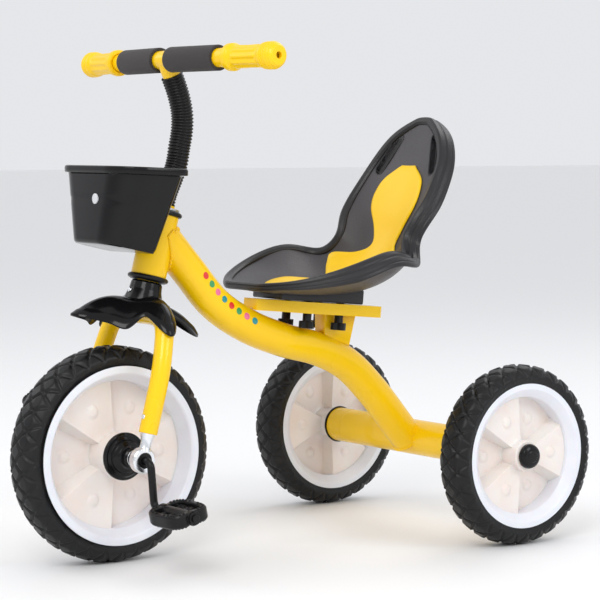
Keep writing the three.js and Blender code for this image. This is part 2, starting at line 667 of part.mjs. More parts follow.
function makeFork() {
  const left = smooth(forkLine.map(([x, z]) => new THREE.Vector3(x, 0, z)), 10);
  const right = left.slice(1).map((p) => new THREE.Vector3(-p.x, 0, p.z)).reverse();
  const line = [...right, ...left];
  add(head, "fork_arch", pipe(line, fork.tubeRadius, fork.tubeRadius - fork.wall, 10), finishes.yellowPaint);

  const archSpace = sweep(line, bore(fork.tubeRadius + fit, 10), 10);
  const inside = bore(steerer.bore, 20);
  const tube = turned([
    [steerer.radius, fork.crown], [steerer.radius, steerer.to], [inside, steerer.to], [inside, fork.crown],
  ], 20);
  add(head, "steerer_tube", cut(tube, archSpace), finishes.yellowPaint);

  const collar = turned([
    [0, fender.collarFrom], [fender.collarFoot, fender.collarFrom], [fender.collarTop, fender.collarTo],
    [0, fender.collarTo],
  ], 18);
  const steererSpace = cylinder(bore(steerer.radius + fit, 20), fork.crown - 20, steerer.to, 20);
  add(head, "fender", cut(join(fenderPlate(), collar), steererSpace, archSpace), finishes.blackPlastic);

  const shankTop = fork.foot + eye.shank;
  const ring = cylinder(eye.radius, -eye.half, eye.half, 20).rotateY(Math.PI / 2);
  const neck = cylinder(eye.neck, 0, fork.foot + 2, 12);
  const shank = cylinder(fork.tubeRadius - fork.wall - fit, fork.foot - 2, shankTop, 12);
  const hole = cylinder(bore(eye.bore, 16), -20, 20, 16).rotateY(Math.PI / 2);
  const forkEnd = cut(join(ring, neck, shank), hole);
  const bushBore = bore(crank.radius + fit, 16);
  const bushFrom = flangeTip + hubWasher.thickness + 2 * fit - fork.half; // it keeps the wheel centred
  const bush = turnedAcross([
    [eye.bore - fit, bushFrom], [eye.bore - fit, eye.half], [bushBore, eye.half], [bushBore, bushFrom],
  ], 16);
  for (const [name, side, flip] of [["left", 1, (g) => g], ["right", -1, mirrored]]) {
    add(head, `fork_end_${name}`, forkEnd, finishes.steel).position.x = side * fork.half;
    add(head, `fork_bush_${name}`, flip(bush), finishes.blackPlastic).position.x = side * fork.half;
  }

  const washerFrom = headTube.to + 2 * fit + cup.height;
  const washerBore = bore(steerer.radius + fit, 20);
  add(head, "lock_washer", turned([
    [lockWasher.radius, washerFrom], [lockWasher.radius, washerFrom + lockWasher.height],
    [washerBore, washerFrom + lockWasher.height], [washerBore, washerFrom],
  ], 20), finishes.steel);
}

// A place on the steering axis, in the head's own frame.
const along = (distance) => new THREE.Vector3(0, 0, distance);
// A place given across, behind and above the front hub, in the head's own frame.
const byHub = (x, y, z) => intoHead(new THREE.Vector3(x, y, z).add(frontHub));

const barMiddle = byHub(0, bar.y, bar.z);
const stemCurve = smooth([along(stem.straight), ...stem.bend.map(([y, z]) => byHub(0, y, z)), barMiddle], 14);
const stemFoot = Math.max(steerer.to, headTube.to + 3 * fit + cup.height + lockWasher.height) + fit;
const sleeveLine = [
  along(stemFoot), ...stemCurve.filter((point) => point.distanceTo(barMiddle) > sleeve.belowBar),
];

function makeBar() {
  const bendSide = (side) => byHub(side * bar.middle, bar.y, bar.z);
  const barEnd = (side) => byHub(side * bar.half, bar.y + bar.sweep, bar.z);
  const corners = [barEnd(-1), bendSide(-1), bendSide(1), barEnd(1)];
  const barLine = rounded(corners, bar.bend, 2);
  const barSpace = sweep(barLine, bore(bar.radius + fit, 14), 14);

  const stemLine = [along(steerer.to - stem.insert), along(stemFoot), ...stemCurve];
  const stemTube = pipe(stemLine, stem.radius, stem.radius - stem.wall, 12);
  add(head, "stem_tube", cut(stemTube, barSpace), finishes.yellowPaint);

  add(head, "stem_sleeve", pipe(sleeveLine, sleeve.radius, stem.radius + fit, 12), finishes.blackPlastic);

  add(head, "handlebar", pipe(barLine, bar.radius, bar.radius - bar.wall, 14), finishes.yellowPaint);

  const slope = Math.atan2(bar.sweep, bar.half - bar.middle);
  const hole = bore(bar.radius + fit, 14);
  const gripEnd = bar.half + grip.overhang;
  const foamTube = turnedAcross([
    [foam.radius, foam.from], [foam.radius, foam.to], [hole, foam.to], [hole, foam.from],
  ], 14);
  const inEnd = bar.half + grip.overhang / 3;
  const gripTube = turnedAcross([
    [hole, grip.from], [grip.collar - 3, grip.from], [grip.collar, grip.from + 3],
    [grip.collar, grip.from + grip.collarLength - 4], [grip.waist, grip.from + grip.collarLength + 2],
    [grip.waist, gripEnd - grip.ballLength], [grip.ball, gripEnd - grip.ballLength + 7],
    [grip.ball, gripEnd - 9], [grip.ball - 5, gripEnd - 2],
    [grip.hole, gripEnd], [grip.hole, inEnd], [hole, inEnd],
  ], 14);
  for (const [name, side, flip] of [["left", 1, (g) => g], ["right", -1, mirrored]]) {
    for (const [piece, geometry, finish] of [
      ["foam", foamTube, finishes.gripFoam], ["grip", gripTube, finishes.yellowPlastic],
    ]) {
      const holder = new THREE.Group(); // x runs out along this side of the bar, level with the ground
      holder.position.copy(barMiddle);
      holder.rotation.x = rake;
      head.add(holder);
      const mesh = add(holder, `${piece}_${name}`, flip(geometry), finish);
      mesh.rotation.z = side * slope;
      mesh.position.set(side * bar.middle * (1 - Math.cos(slope)), -bar.middle * Math.sin(slope), 0);
    }
  }
}

// Basket

function basketRing(edge, inset, lift) {
  const { half, front: near, back: far, zFront, zBack, corner, backCorner } = edge;
  const points = roundedRectangle(
    half - inset, near + inset, far - inset, corner - inset, 4, backCorner - inset,
  );
  return points.map(([x, y]) => {
    const share = (y - near) / (far - near);
    return new THREE.Vector3(x, y, front.radius + zFront + (zBack - zFront) * share + lift);
  });
}

function basketOutside(grow) {
  const { rim: top, floor, lip, lipHeight } = basket;
  return [
    basketRing(floor, -grow, -grow), basketRing(top, -grow, -lipHeight),
    basketRing(top, -grow - lip, -lipHeight), basketRing(top, -grow - lip, 0),
  ];
}

function makeBasket() {
  const { rim: top, floor, wall } = basket;
  const shell = skin([...basketOutside(0), basketRing(top, wall, 0), basketRing(floor, wall, wall)]);
  add(tricycle, "basket", shell, finishes.blackPlastic);

  // The bracket fills the space between the basket's back wall and the middle of the sleeve.
  const { share, half, height } = basketBracket;
  const wallY = THREE.MathUtils.lerp(floor.back, top.back, share) - basket.lip;
  const wallZ = front.radius + THREE.MathUtils.lerp(floor.zBack, top.zBack, share);
  const depth = (wallZ - front.radius) * Math.tan(rake) - wallY;
  const block = new THREE.BoxGeometry(2 * half, depth, height).translate(0, wallY + depth / 2, wallZ);
  const postSpace = fromHead(sweep(sleeveLine, bore(sleeve.radius + 2 * fit, 12), 12));
  add(tricycle, "basket_bracket", cut(block, postSpace, skin(basketOutside(fit))), finishes.blackPlastic);
}

// Seat

function seatSurface() {
  const middle = new THREE.CatmullRomCurve3(seatStations.map(([y, z]) => new THREE.Vector3(0, y, z)));
  const edge = new THREE.CatmullRomCurve3(seatStations.map(([, , w, y, z]) => new THREE.Vector3(w, y, z)));
  // u runs from the nose to the top, v from -1 to 1 across.
  return (u, v) => {
    const m = middle.getPoint(u);
    const e = edge.getPoint(u);
    const rise = Math.abs(v) ** 2.3;
    return new THREE.Vector3(e.x * v, m.y + (e.y - m.y) * rise, m.z + (e.z - m.z) * rise);
  };
}

function seatNormal(surface, u, v) {
  const step = 0.01;
  const along = surface(Math.min(u + step, 1), v).sub(surface(Math.max(u - step, 0), v));
  const across = surface(u, Math.min(v + step, 1)).sub(surface(u, Math.max(v - step, -1)));
  return across.cross(along).normalize();
}

function makeSeat() {
  const surface = seatSurface();
  const rows = 16;
  const columns = 8;
  const [top, bottom] = [[], []];
  for (let i = 0; i <= rows; i++) {
    const u = i / rows;
    const line = Array.from({ length: columns + 1 }, (_, j) => (2 * j) / columns - 1);
    top.push(line.map((v) => surface(u, v)));
    bottom.push(line.map((v) => {
      const depth = seatWall + (seatRim - seatWall) * v ** 4;
      return surface(u, v * 0.97).addScaledVector(seatNormal(surface, u, v * 0.8), -depth);
    }));
  }
  const { gap, frontHeight, rearHeight } = seatPlinth;
  const plinth = across([
    [seatPlinth.from, gap], [seatPlinth.to, gap], [seatPlinth.to, rearHeight], [seatPlinth.from, frontHeight],
  ], 2 * seatPlinth.half);
  const shell = join(plate(top, bottom), intoSeat(plinth));

  const places = [];
  for (const [row, y] of [["front", bolt.frontAt], ["rear", bolt.rearAt]]) {
    places.push([`${row}_left`, bolt.across, y], [`${row}_right`, -bolt.across, y]);
  }
  // Each bolt's head stands on the rail, in a pocket of the plinth.
  const pockets = [];
  const boltEnd = -rail.wall - knob.stemLength - 3;
  for (const [name, x, y] of places) {
    const pocket = cylinder(bore(bolt.seatRadius + fit, 12), 0, bolt.headHeight + fit, 12);
    pockets.push(intoSeat(pocket.translate(x, y, 0)));
    const pad = turned([
      [0, bolt.headHeight], [bolt.seatRadius, bolt.headHeight], [bolt.seatRadius, fit], [bolt.radius, fit],
      [bolt.radius, boltEnd], [0, boltEnd],
    ], 12);
    add(railFrame, `seat_bolt_${name}`, pad, finishes.blackPlastic).position.set(x, y, 0);
    const knobMesh = add(railFrame, `seat_knob_${name}`, knobGeometry(), finishes.blackPlastic);
    knobMesh.position.set(x, y, -rail.wall - fit);
  }
  const slotCutters = [1, -1].map((side) => {
    const from = surface(seatSlot.from, side * seatSlot.across);
    const to = surface(seatSlot.to, side * seatSlot.across);
    const middle = from.clone().add(to).multiplyScalar(0.5);
    const y = to.clone().sub(from).normalize();
    const z = seatNormal(surface, (seatSlot.from + seatSlot.to) / 2, side * seatSlot.across * 0.7);
    const x = y.clone().cross(z).normalize();
    const reach = from.distanceTo(to) / 2 + seatSlot.half;
    const deep = 4 * seatWall;
    return extruded(roundedRectangle(seatSlot.half, -reach, reach, seatSlot.half - 0.1, 3), deep)
      .translate(0, 0, -deep / 2)
      .applyMatrix4(new THREE.Matrix4().makeBasis(x, y, x.clone().cross(y)).setPosition(middle));
  });
  add(seatFrame, "seat_shell", cut(shell, ...pockets, ...slotCutters), finishes.greyPlastic);

  const insertRows = 13;
  const shares = new THREE.CatmullRomCurve3(insertShares.map((s, i) => new THREE.Vector3(i, s, 0)));
  const grid = (lift) => Array.from({ length: insertRows + 1 }, (_, i) => {
    const u = insertSpan[0] + ((insertSpan[1] - insertSpan[0]) * i) / insertRows;
    const share = shares.getPoint(i / insertRows).y;
    return Array.from({ length: 7 }, (__, j) => {
      const v = share * (j / 3 - 1);
      return surface(u, v).addScaledVector(seatNormal(surface, u, v), lift);
    });
  });
  const insert = plate(grid(seatInsert.lift + seatInsert.thickness), grid(seatInsert.lift));
  add(seatFrame, "seat_insert", insert, finishes.yellowPlastic);
}

function knobGeometry() {
  const points = [];
  for (let i = 0; i < 24; i++) {
    const angle = (Math.PI * i) / 12;
    const r = knob.waist + (knob.lobe - knob.waist) * (0.5 + 0.5 * Math.cos(4 * angle)) ** 0.6;
    points.push([r * Math.cos(angle), r * Math.sin(angle)]);
  }
  const star = extruded(points, knob.headLength).translate(0, 0, -knob.stemLength - knob.headLength);
  const collar = cylinder(knob.stem, -knob.stemLength - 2, 0, 12);
  const hole = cylinder(bore(bolt.radius + fit, 12), -knob.stemLength - 4 - fit, 1, 12);
  return cut(join(star, collar), hole);
}

makeFrame();
makeRail();
makeFrontWheel();
makeRearWheels();
makeFork();
makeBar();
makeBasket();
makeSeat();

export default tricycle;
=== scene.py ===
import json
import math
import bmesh
import bpy
import numpy as np
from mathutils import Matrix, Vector


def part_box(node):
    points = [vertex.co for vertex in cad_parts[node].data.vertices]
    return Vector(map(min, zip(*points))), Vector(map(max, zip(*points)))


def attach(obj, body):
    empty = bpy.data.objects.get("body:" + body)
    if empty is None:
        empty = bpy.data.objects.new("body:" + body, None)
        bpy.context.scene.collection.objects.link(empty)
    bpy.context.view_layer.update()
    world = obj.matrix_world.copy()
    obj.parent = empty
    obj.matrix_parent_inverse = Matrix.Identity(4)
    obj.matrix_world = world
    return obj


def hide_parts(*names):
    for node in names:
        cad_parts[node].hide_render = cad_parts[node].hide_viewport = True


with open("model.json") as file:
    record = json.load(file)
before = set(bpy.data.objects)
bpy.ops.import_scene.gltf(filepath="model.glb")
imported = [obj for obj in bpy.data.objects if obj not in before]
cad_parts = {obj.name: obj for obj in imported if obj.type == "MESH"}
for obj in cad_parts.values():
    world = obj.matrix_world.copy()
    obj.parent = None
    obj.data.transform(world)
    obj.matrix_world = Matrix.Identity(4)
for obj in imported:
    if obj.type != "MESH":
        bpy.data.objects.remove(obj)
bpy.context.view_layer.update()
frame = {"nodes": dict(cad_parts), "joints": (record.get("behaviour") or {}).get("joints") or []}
print("stage: frame loaded")

# Places, in millimetres, taken from the frame

metresPerMm = 0.001


def middleOf(node):
    low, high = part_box(node)
    return np.array((low + high) / 2) / metresPerMm


def frameAt(origin, back, up):
    basis = np.array([(1.0, 0.0, 0.0), back, up])
    return lambda points: np.asarray(origin) + np.asarray(points, float) @ basis


jointAxis = {joint["name"]: np.array(joint["axis"], float) for joint in frame["joints"]}
frontHub = middleOf("front_tyre")
rearHubs = {side: middleOf("rear_tyre_" + side) for side in ("left", "right")}
signs = {"left": 1, "right": -1}
headUp = jointAxis["steering_turn"]
headBack = np.array((0.0, headUp[2], -headUp[1]))
railBack = jointAxis["seat_slide"]
railUp = np.array((0.0, -railBack[2], railBack[1]))
railDepth = 14
railLow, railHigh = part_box("seat_rail")
railStart = np.array((0.0, railLow.y / metresPerMm + railDepth * railUp[1], railHigh.z / metresPerMm))
crankTurn = math.radians(5)

fromHub = frameAt(frontHub, (0, 1, 0), (0, 0, 1))
fromHead = frameAt(frontHub, headBack, headUp)
fromRail = frameAt(railStart, railBack, railUp)
fromSeat = frameAt(railStart, (0, 1, 0), (0, 0, 1))
fromCrank = frameAt(
    frontHub, (0, math.cos(crankTurn), math.sin(crankTurn)), (0, -math.sin(crankTurn), math.cos(crankTurn)))


# Node graphs

class Signal:
    # A socket's value, which adds Math nodes as it is used in an expression
    def __init__(self, graph, socket):
        self.graph = graph
        self.socket = socket

    def math(self, operation, *values):
        node = self.graph.add("ShaderNodeMath", {"operation": operation}, dict(enumerate(values)))
        return Signal(self.graph, node.outputs[0])

    def __add__(self, other):
        return self.math("ADD", self, other)

    def __radd__(self, other):
        return self.math("ADD", other, self)

    def __sub__(self, other):
        return self.math("SUBTRACT", self, other)

    def __rsub__(self, other):
        return self.math("SUBTRACT", other, self)

    def __mul__(self, other):
        return self.math("MULTIPLY", self, other)

    def __rmul__(self, other):
        return self.math("MULTIPLY", other, self)

    def step(self, low, high):
        # 0 below low and 1 above high, with a soft rise between
        node = self.graph.add("ShaderNodeMapRange", {"interpolation_type": "SMOOTHSTEP"}, {
            0: self, 1: low, 2: high, 3: 0.0, 4: 1.0})
        return Signal(self.graph, node.outputs[0])


class Graph:
    def __init__(self, tree):
        self.tree = tree

    def add(self, kind, settings=None, sockets=None):
        node = self.tree.nodes.new(kind)
        for name, value in (settings or {}).items():
            setattr(node, name, value)
        for key, value in (sockets or {}).items():
            self.feed(node.inputs[key], value)
        return node

    def feed(self, socket, value):
        if isinstance(value, Signal):
            self.tree.links.new(value.socket, socket)
        elif isinstance(value, bpy.types.NodeSocket):
            self.tree.links.new(value, socket)
        else:
            socket.default_value = value


class Finish(Graph):
    # A material with a Principled shader; constants are shader sockets by name
    def __init__(self, name, colour, roughness, **constants):
        self.material = bpy.data.materials.new(name)
        self.material.use_nodes = True
        super().__init__(self.material.node_tree)
        self.shader = self.tree.nodes["Principled BSDF"]
        self.colour = (*colour, 1.0)
        self.shade("Base Color", self.colour)
        self.shade("Roughness", roughness)
        for key, value in constants.items():
            self.shade(key.replace("_", " "), value)
        self.material.diffuse_color = self.colour
        self.place = self.add("ShaderNodeTexCoord").outputs["Object"]

    def shade(self, name, value):
        self.feed(self.shader.inputs[name], value)

    def noise(self, scale, detail=3.0, roughness=0.5, stretch=None):
        place = self.place
        if stretch:
            place = self.add("ShaderNodeMapping", None, {"Vector": place, "Scale": stretch}).outputs[0]
        node = self.add("ShaderNodeTexNoise", None, {
            "Vector": place, "Scale": scale, "Detail": detail, "Roughness": roughness})
        return Signal(self, node.outputs[0])

    def cells(self, scale):
        node = self.add("ShaderNodeTexVoronoi", None, {"Vector": self.place, "Scale": scale})
        return Signal(self, node.outputs["Distance"])

    def blend(self, amount, first, second):
        node = self.add("ShaderNodeMix", {"data_type": "RGBA"}, {
            0: amount, 6: (*first, 1.0), 7: (*second, 1.0)})
        return node.outputs[2]

    def bump(self, height, distance, strength=1.0):
        node = self.add("ShaderNodeBump", None, {
            "Height": height, "Distance": distance, "Strength": strength})
        self.shade("Normal", node.outputs[0])


def paint(name, colour, deep):
    finish = Finish(name, colour, 0.26, Specular_IOR_Level=0.3, Coat_Weight=0.3, Coat_Roughness=0.06)
    peel = finish.noise(520, 2)
    cloud = finish.noise(9, 3)
    finish.shade("Base Color", finish.blend(cloud.step(0.35, 0.75) * 0.35, colour, deep))
    finish.shade("Roughness", 0.22 + cloud * 0.12)
    finish.bump(peel, 0.00006, 0.5)
    return finish.material


def plastic(name, colour, worn, roughness, grain, depth, coat=0.0, specular=0.35):
    # Moulded plastic: a fine grain, soft colour drift and faint handling scuffs
    finish = Finish(
        name, colour, roughness, Coat_Weight=coat, Coat_Roughness=0.12, Specular_IOR_Level=specular)
    drift = finish.noise(14, 3)
    scuff = finish.noise(60, 5, 0.7, (1.0, 3.5, 1.0)).step(0.6, 0.78)
    finish.shade("Base Color", finish.blend(drift.step(0.3, 0.8) * 0.3 + scuff * 0.2, colour, worn))
    finish.shade("Roughness", roughness - 0.05 + drift * 0.1 + scuff * 0.12)
    finish.bump(finish.noise(grain, 2), depth, 0.6)
    return finish.material


def pebbled(name, colour, high, roughness):
    # Leather-like moulded pebbles
    finish = Finish(name, colour, roughness, Specular_IOR_Level=0.4)
    pebble = finish.cells(420).step(0.1, 0.75)
    drift = finish.noise(7, 3)
    finish.shade("Base Color", finish.blend(drift.step(0.3, 0.75) * 0.55, colour, high))
    finish.shade("Roughness", roughness - 0.06 + pebble * 0.1 + drift * 0.06)
    finish.bump(1 - pebble + finish.noise(900, 2) * 0.3, 0.00016, 0.55)
    return finish.material


def wheelPlastic(name, colour, shadedTone):
    finish = Finish(name, colour, 0.38, Subsurface_Weight=0.12, Subsurface_Scale=0.01, Coat_Weight=0.15)
    flowAndShade = finish.noise(22, 4, 0.6)
    # the noise moves the colour toward the second, darker tone, which is painted shade: on the web it stands
    # in for the shadows of internal ribs seen through the plastic. The same noise also varies roughness and
    # bump, as flow marks do
    finish.shade("Base Color", finish.blend(flowAndShade.step(0.38, 0.72) * 0.6, colour, shadedTone))
    finish.shade("Roughness", 0.32 + flowAndShade * 0.14)
    finish.bump(finish.noise(700, 2) + flowAndShade * 0.5, 0.00006, 0.5)
    return finish.material


def tyreRubber():
    finish = Finish("tyreRubber", (0.010, 0.010, 0.011), 0.6, Specular_IOR_Level=0.3)
    dust = finish.noise(35, 5, 0.65).step(0.5, 0.8)
    finish.shade("Base Color", finish.blend(dust * 0.5, (0.006, 0.006, 0.0065), (0.018, 0.017, 0.016)))
    finish.shade("Roughness", 0.38 + dust * 0.2)
    finish.bump(finish.noise(900, 3) + finish.noise(240, 2) * 0.5, 0.00014, 0.7)
    return finish.material


def foamSkin():
    finish = Finish("foamSkin", (0.055, 0.048, 0.048), 0.92, Sheen_Weight=0.1, Sheen_Roughness=0.5)
    pores = finish.cells(1500).step(0.05, 0.6)
    drift = finish.noise(60, 4)
    finish.shade("Base Color", finish.blend(
        pores * 0.6 + drift * 0.2, (0.016, 0.014, 0.014), (0.050, 0.043, 0.043)))
    finish.bump(pores + drift * 0.6, 0.00035, 0.8)
    return finish.material


def plated(name, colour, roughness):
    finish = Finish(name, colour, roughness, Metallic=1.0)
    brush = finish.noise(150, 4, 0.6, (1.0, 14.0, 1.0))
    haze = finish.noise(25, 3)
    finish.shade("Base Color", finish.blend(haze.step(0.4, 0.8) * 0.4, colour, [n * 0.75 for n in colour]))
    finish.shade("Roughness", roughness + brush * 0.08 + haze * 0.08)
    finish.bump(brush, 0.00003, 0.4)
    return finish.material


def printed(name, colour):
    finish = Finish(name, colour, 0.3, Coat_Weight=0.5, Coat_Roughness=0.08)
    speck = finish.noise(1200, 2).step(0.55, 0.8)
    finish.shade("Base Color", finish.blend(speck * 0.12, colour, [n * 0.7 for n in colour]))
    finish.shade("Roughness", 0.26 + speck * 0.1)
    return finish.material


finishes = {
    "yellowPaint": paint("yellowPaint", (0.96, 0.60, 0.001), (0.93, 0.52, 0.001)),
    "yellowPlastic": plastic(
        "yellowPlastic", (0.96, 0.61, 0.001), (0.93, 0.53, 0.001), 0.36, 800, 0.00005, 0.1),
    "blackGloss": plastic(
        "blackGloss", (0.004, 0.004, 0.0045), (0.009, 0.009, 0.009), 0.17, 600, 0.00004, 0.1, 0.2),
    "blackSatin": plastic(
        "blackSatin", (0.006, 0.006, 0.0065), (0.017, 0.016, 0.016), 0.32, 900, 0.00007, 0, 0.24),
    "seatGrey": pebbled("seatGrey", (0.048, 0.045, 0.050), (0.085, 0.080, 0.088), 0.42),
    "seatEdge": pebbled("seatEdge", (0.012, 0.0115, 0.013), (0.026, 0.025, 0.027), 0.34),
    "wheelLip": wheelPlastic("wheelLip", (0.78, 0.79, 0.84), (0.72, 0.72, 0.78)),
    # the web's second colour is a painted shade tone for the shadows of internal ribs seen through the
    # plastic
    "wheelWeb": wheelPlastic("wheelWeb", (0.82, 0.765, 0.725), (0.80, 0.68, 0.61)),
    "tyre": tyreRubber(),
    "foam": foamSkin(),
    "chrome": plated("chrome", (0.82, 0.84, 0.87), 0.14),
    "zinc": plated("zinc", (0.55, 0.56, 0.58), 0.3),
    "badge": printed("badge", (0.62, 0.63, 0.65)),
    "green": printed("green", (0.045, 0.32, 0.10)),
    "teal": printed("teal", (0.02, 0.28, 0.30)),
    "red": printed("red", (0.72, 0.03, 0.02)),
    "pink": printed("pink", (0.80, 0.16, 0.30)),
}
slots = {
    "yellowPaint": "yellow_paint", "yellowPlastic": "yellow_plastic", "blackGloss": "black_plastic",
    "blackSatin": "black_plastic", "seatGrey": "grey_plastic", "seatEdge": "grey_plastic",
    "wheelLip": "white_plastic", "wheelWeb": "white_plastic", "tyre": "tyre", "foam": "grip_foam",
    "chrome": "steel", "zinc": "steel",
}
print("stage: finishes made")


# Shapes are (points, faces) in millimetres

def joined(*shapes):
    points, faces, start = [], [], 0
    for shapePoints, shapeFaces in shapes:
        points.append(np.asarray(shapePoints, float).reshape(-1, 3))
        faces.extend([tuple(int(i) + start for i in face) for face in shapeFaces])
        start += len(points[-1])
    return np.concatenate(points), faces


def gridFaces(rows, columns, wrapRows=False, wrapColumns=False, start=0):
    faces = []
    for i in range(rows if wrapRows else rows - 1):
        for j in range(columns if wrapColumns else columns - 1):
            a, b = i * columns, ((i + 1) % rows) * columns
            k = (j + 1) % columns
            faces.append((start + a + j, start + a + k, start + b + k, start + b + j))
    return faces


def meshOf(name, shape):
    points, faces = shape
    mesh = bpy.data.meshes.new(name)
    mesh.from_pydata((np.asarray(points) * metresPerMm).tolist(), [], faces)
    tidyMesh(mesh)
    return mesh


def tidyMesh(mesh, merge=1e-6, sharp=38):
    work = bmesh.new()
    work.from_mesh(mesh)
    bmesh.ops.remove_doubles(work, verts=work.verts, dist=merge)
    bmesh.ops.recalc_face_normals(work, faces=work.faces)
    for face in work.faces:
        face.smooth = True
    work.to_mesh(mesh)
    work.free()
    mesh.set_sharp_from_angle(angle=math.radians(sharp))


def makePiece(name, shape, finish, body, stands=()):
    return place(name, meshOf(name, shape), finish, body, stands)


def place(name, mesh, finish, body, stands=()):
    piece = bpy.data.objects.new(name, mesh)
    bpy.context.scene.collection.objects.link(piece)
    mesh.materials.clear()
    mesh.materials.append(finishes[finish])
    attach(piece, body)
    if stands:
        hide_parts(*stands)
    finish in slots
    return piece


def settled(piece):
    # the evaluated mesh, once the modifiers have done their work
    bpy.context.view_layer.update()
    evaluated = piece.evaluated_get(bpy.context.evaluated_depsgraph_get())
    mesh = bpy.data.meshes.new_from_object(evaluated)
    piece.modifiers.clear()
    return mesh


def looseObject(name, mesh):
    piece = bpy.data.objects.new(name, mesh)
    bpy.context.scene.collection.objects.link(piece)
    return piece


def cutMesh(name, shape, *cutters):
    piece = looseObject(name, meshOf(name, shape))
    tools = []
    for cutter in cutters:
        tool = looseObject(name + "Tool", meshOf(name + "Tool", cutter))
        modifier = piece.modifiers.new("cut", "BOOLEAN")
        modifier.operation = "DIFFERENCE"
        modifier.solver = "EXACT"
        modifier.object = tool
        tools.append(tool)
    mesh = settled(piece)
    for thing in [piece, *tools]:
        bpy.data.objects.remove(thing)
    tidyMesh(mesh)
    return mesh


def softCopy(name, node, finish, body, bevel, segments=3, flatAngle=4):
    # the CAD piece with its edges rounded
    mesh = frame["nodes"][node].data.copy()
    work = bmesh.new()
    work.from_mesh(mesh)
    bmesh.ops.remove_doubles(work, verts=work.verts, dist=2e-6)
    bmesh.ops.dissolve_limit(
        work, angle_limit=math.radians(flatAngle), verts=work.verts, edges=work.edges)
    work.to_mesh(mesh)
    work.free()
    piece = looseObject(name + "Soft", mesh)
    modifier = piece.modifiers.new("edges", "BEVEL")
    modifier.width = bevel * metresPerMm
    modifier.segments = segments
    modifier.limit_method = "ANGLE"
    modifier.angle_limit = math.radians(28)
    result = settled(piece)
    bpy.data.objects.remove(piece)
    tidyMesh(result, 1e-7, 40)
    return place(name, result, finish, body, [node])


def filleted(points, radius, steps=5, closed=True):
    # the outline with each corner rounded; a point may name its own radius
    flat = [np.array(point[:2], float) for point in points]
    radii = [point[2] if len(point) > 2 else radius for point in points]
    result = []
    for i, corner in enumerate(flat):
        isEnd = not closed and i in (0, len(flat) - 1)
        if isEnd or radii[i] == 0:
            result.append(corner)
            continue
        before = flat[i - 1] - corner
        after = flat[(i + 1) % len(flat)] - corner
        lengths = np.linalg.norm(before), np.linalg.norm(after)
        cosine = np.clip(before @ after / (lengths[0] * lengths[1]), -1, 1)
        half = math.acos(cosine) / 2
        reach = min(radii[i] / max(math.tan(half), 0.05), 0.48 * lengths[0], 0.48 * lengths[1])
        first = corner + before / lengths[0] * reach
        last = corner + after / lengths[1] * reach
        for t in np.linspace(0, 1, steps + 1):
            result.append((1 - t) ** 2 * first + 2 * t * (1 - t) * corner + t * t * last)
    return np.array(result)


def turned(profile, steps=64, acrossAxis=False, closed=True, shape=None):
    # profile points are (radius, distance along the axis); shape(angle, radius, along) may change the radius
    profile = np.asarray(profile, float)
    angles = 2 * math.pi * np.arange(steps) / steps
    radius = np.repeat(profile[None, :, 0], steps, 0)
    along = np.repeat(profile[None, :, 1], steps, 0)
    if shape:
        radius = shape(angles[:, None], radius, along)
    x, y = radius * np.cos(angles)[:, None], radius * np.sin(angles)[:, None]
    points = np.stack([along, y, x] if acrossAxis else [x, y, along], -1).reshape(-1, 3)
    return points, gridFaces(steps, len(profile), True, closed)


def curvePoint(points, t, closed=False, even=False):
    # a Catmull-Rom curve through the points; t runs from 0 to 1
    points = np.asarray(points, float)
    count = len(points)
    place = t * (count if closed else count - 1)
    i = min(int(place), count - 1 if closed else count - 2)
    w = place - i

    def at(k):
        if closed:
            return points[k % count]
        if k < 0:
            return 2 * points[0] - points[1]
        if k >= count:
            return 2 * points[-1] - points[-2]
        return points[k]

    p = [at(i + k) for k in (-1, 0, 1, 2)]
    if even:
        first, second = 0.5 * (p[2] - p[0]), 0.5 * (p[3] - p[1])
    else:
        d = [max(np.linalg.norm(p[k + 1] - p[k]) ** 0.5, 1e-4) for k in range(3)]
        first = d[1] * ((p[1] - p[0]) / d[0] - (p[2] - p[0]) / (d[0] + d[1]) + (p[2] - p[1]) / d[1])
        second = d[1] * ((p[2] - p[1]) / d[1] - (p[3] - p[1]) / (d[1] + d[2]) + (p[3] - p[2]) / d[2])
    return (
        (2 * w ** 3 - 3 * w ** 2 + 1) * p[1] + (w ** 3 - 2 * w ** 2 + w) * first
        + (3 * w ** 2 - 2 * w ** 3) * p[2] + (w ** 3 - w ** 2) * second)


def lengthsOf(path):
    return np.concatenate([[0], np.cumsum(np.linalg.norm(np.diff(path, axis=0), axis=1))])


def atLengths(path, stations):
    lengths = lengthsOf(path)
    return np.stack([np.interp(stations, lengths, path[:, k]) for k in range(3)], -1)


def smoothLine(points, steps):
    path = np.array([curvePoint(points, t) for t in np.linspace(0, 1, 600)])
    return atLengths(path, np.linspace(0, lengthsOf(path)[-1], steps + 1))


def roundedLine(points, radius, steps=10):
    points = [np.asarray(point, float) for point in points]
    line = [points[0]]
    for i in range(1, len(points) - 1):
        back = points[i - 1] - points[i]
        on = points[i + 1] - points[i]
        back, on = back / np.linalg.norm(back), on / np.linalg.norm(on)
        half = math.acos(np.clip(back @ on, -1, 1)) / 2
        reach = radius / math.tan(half)
        middle = (back + on) / np.linalg.norm(back + on)
        centre = points[i] + middle * radius / math.sin(half)
        first, last = points[i] + back * reach - centre, points[i] + on * reach - centre
        whole = math.pi - 2 * half
        for t in np.linspace(0, 1, steps + 1):
            arc = (math.sin((1 - t) * whole) * first + math.sin(t * whole) * last) / math.sin(whole)
            line.append(centre + arc)
    line.append(points[-1])
    return np.array(line)


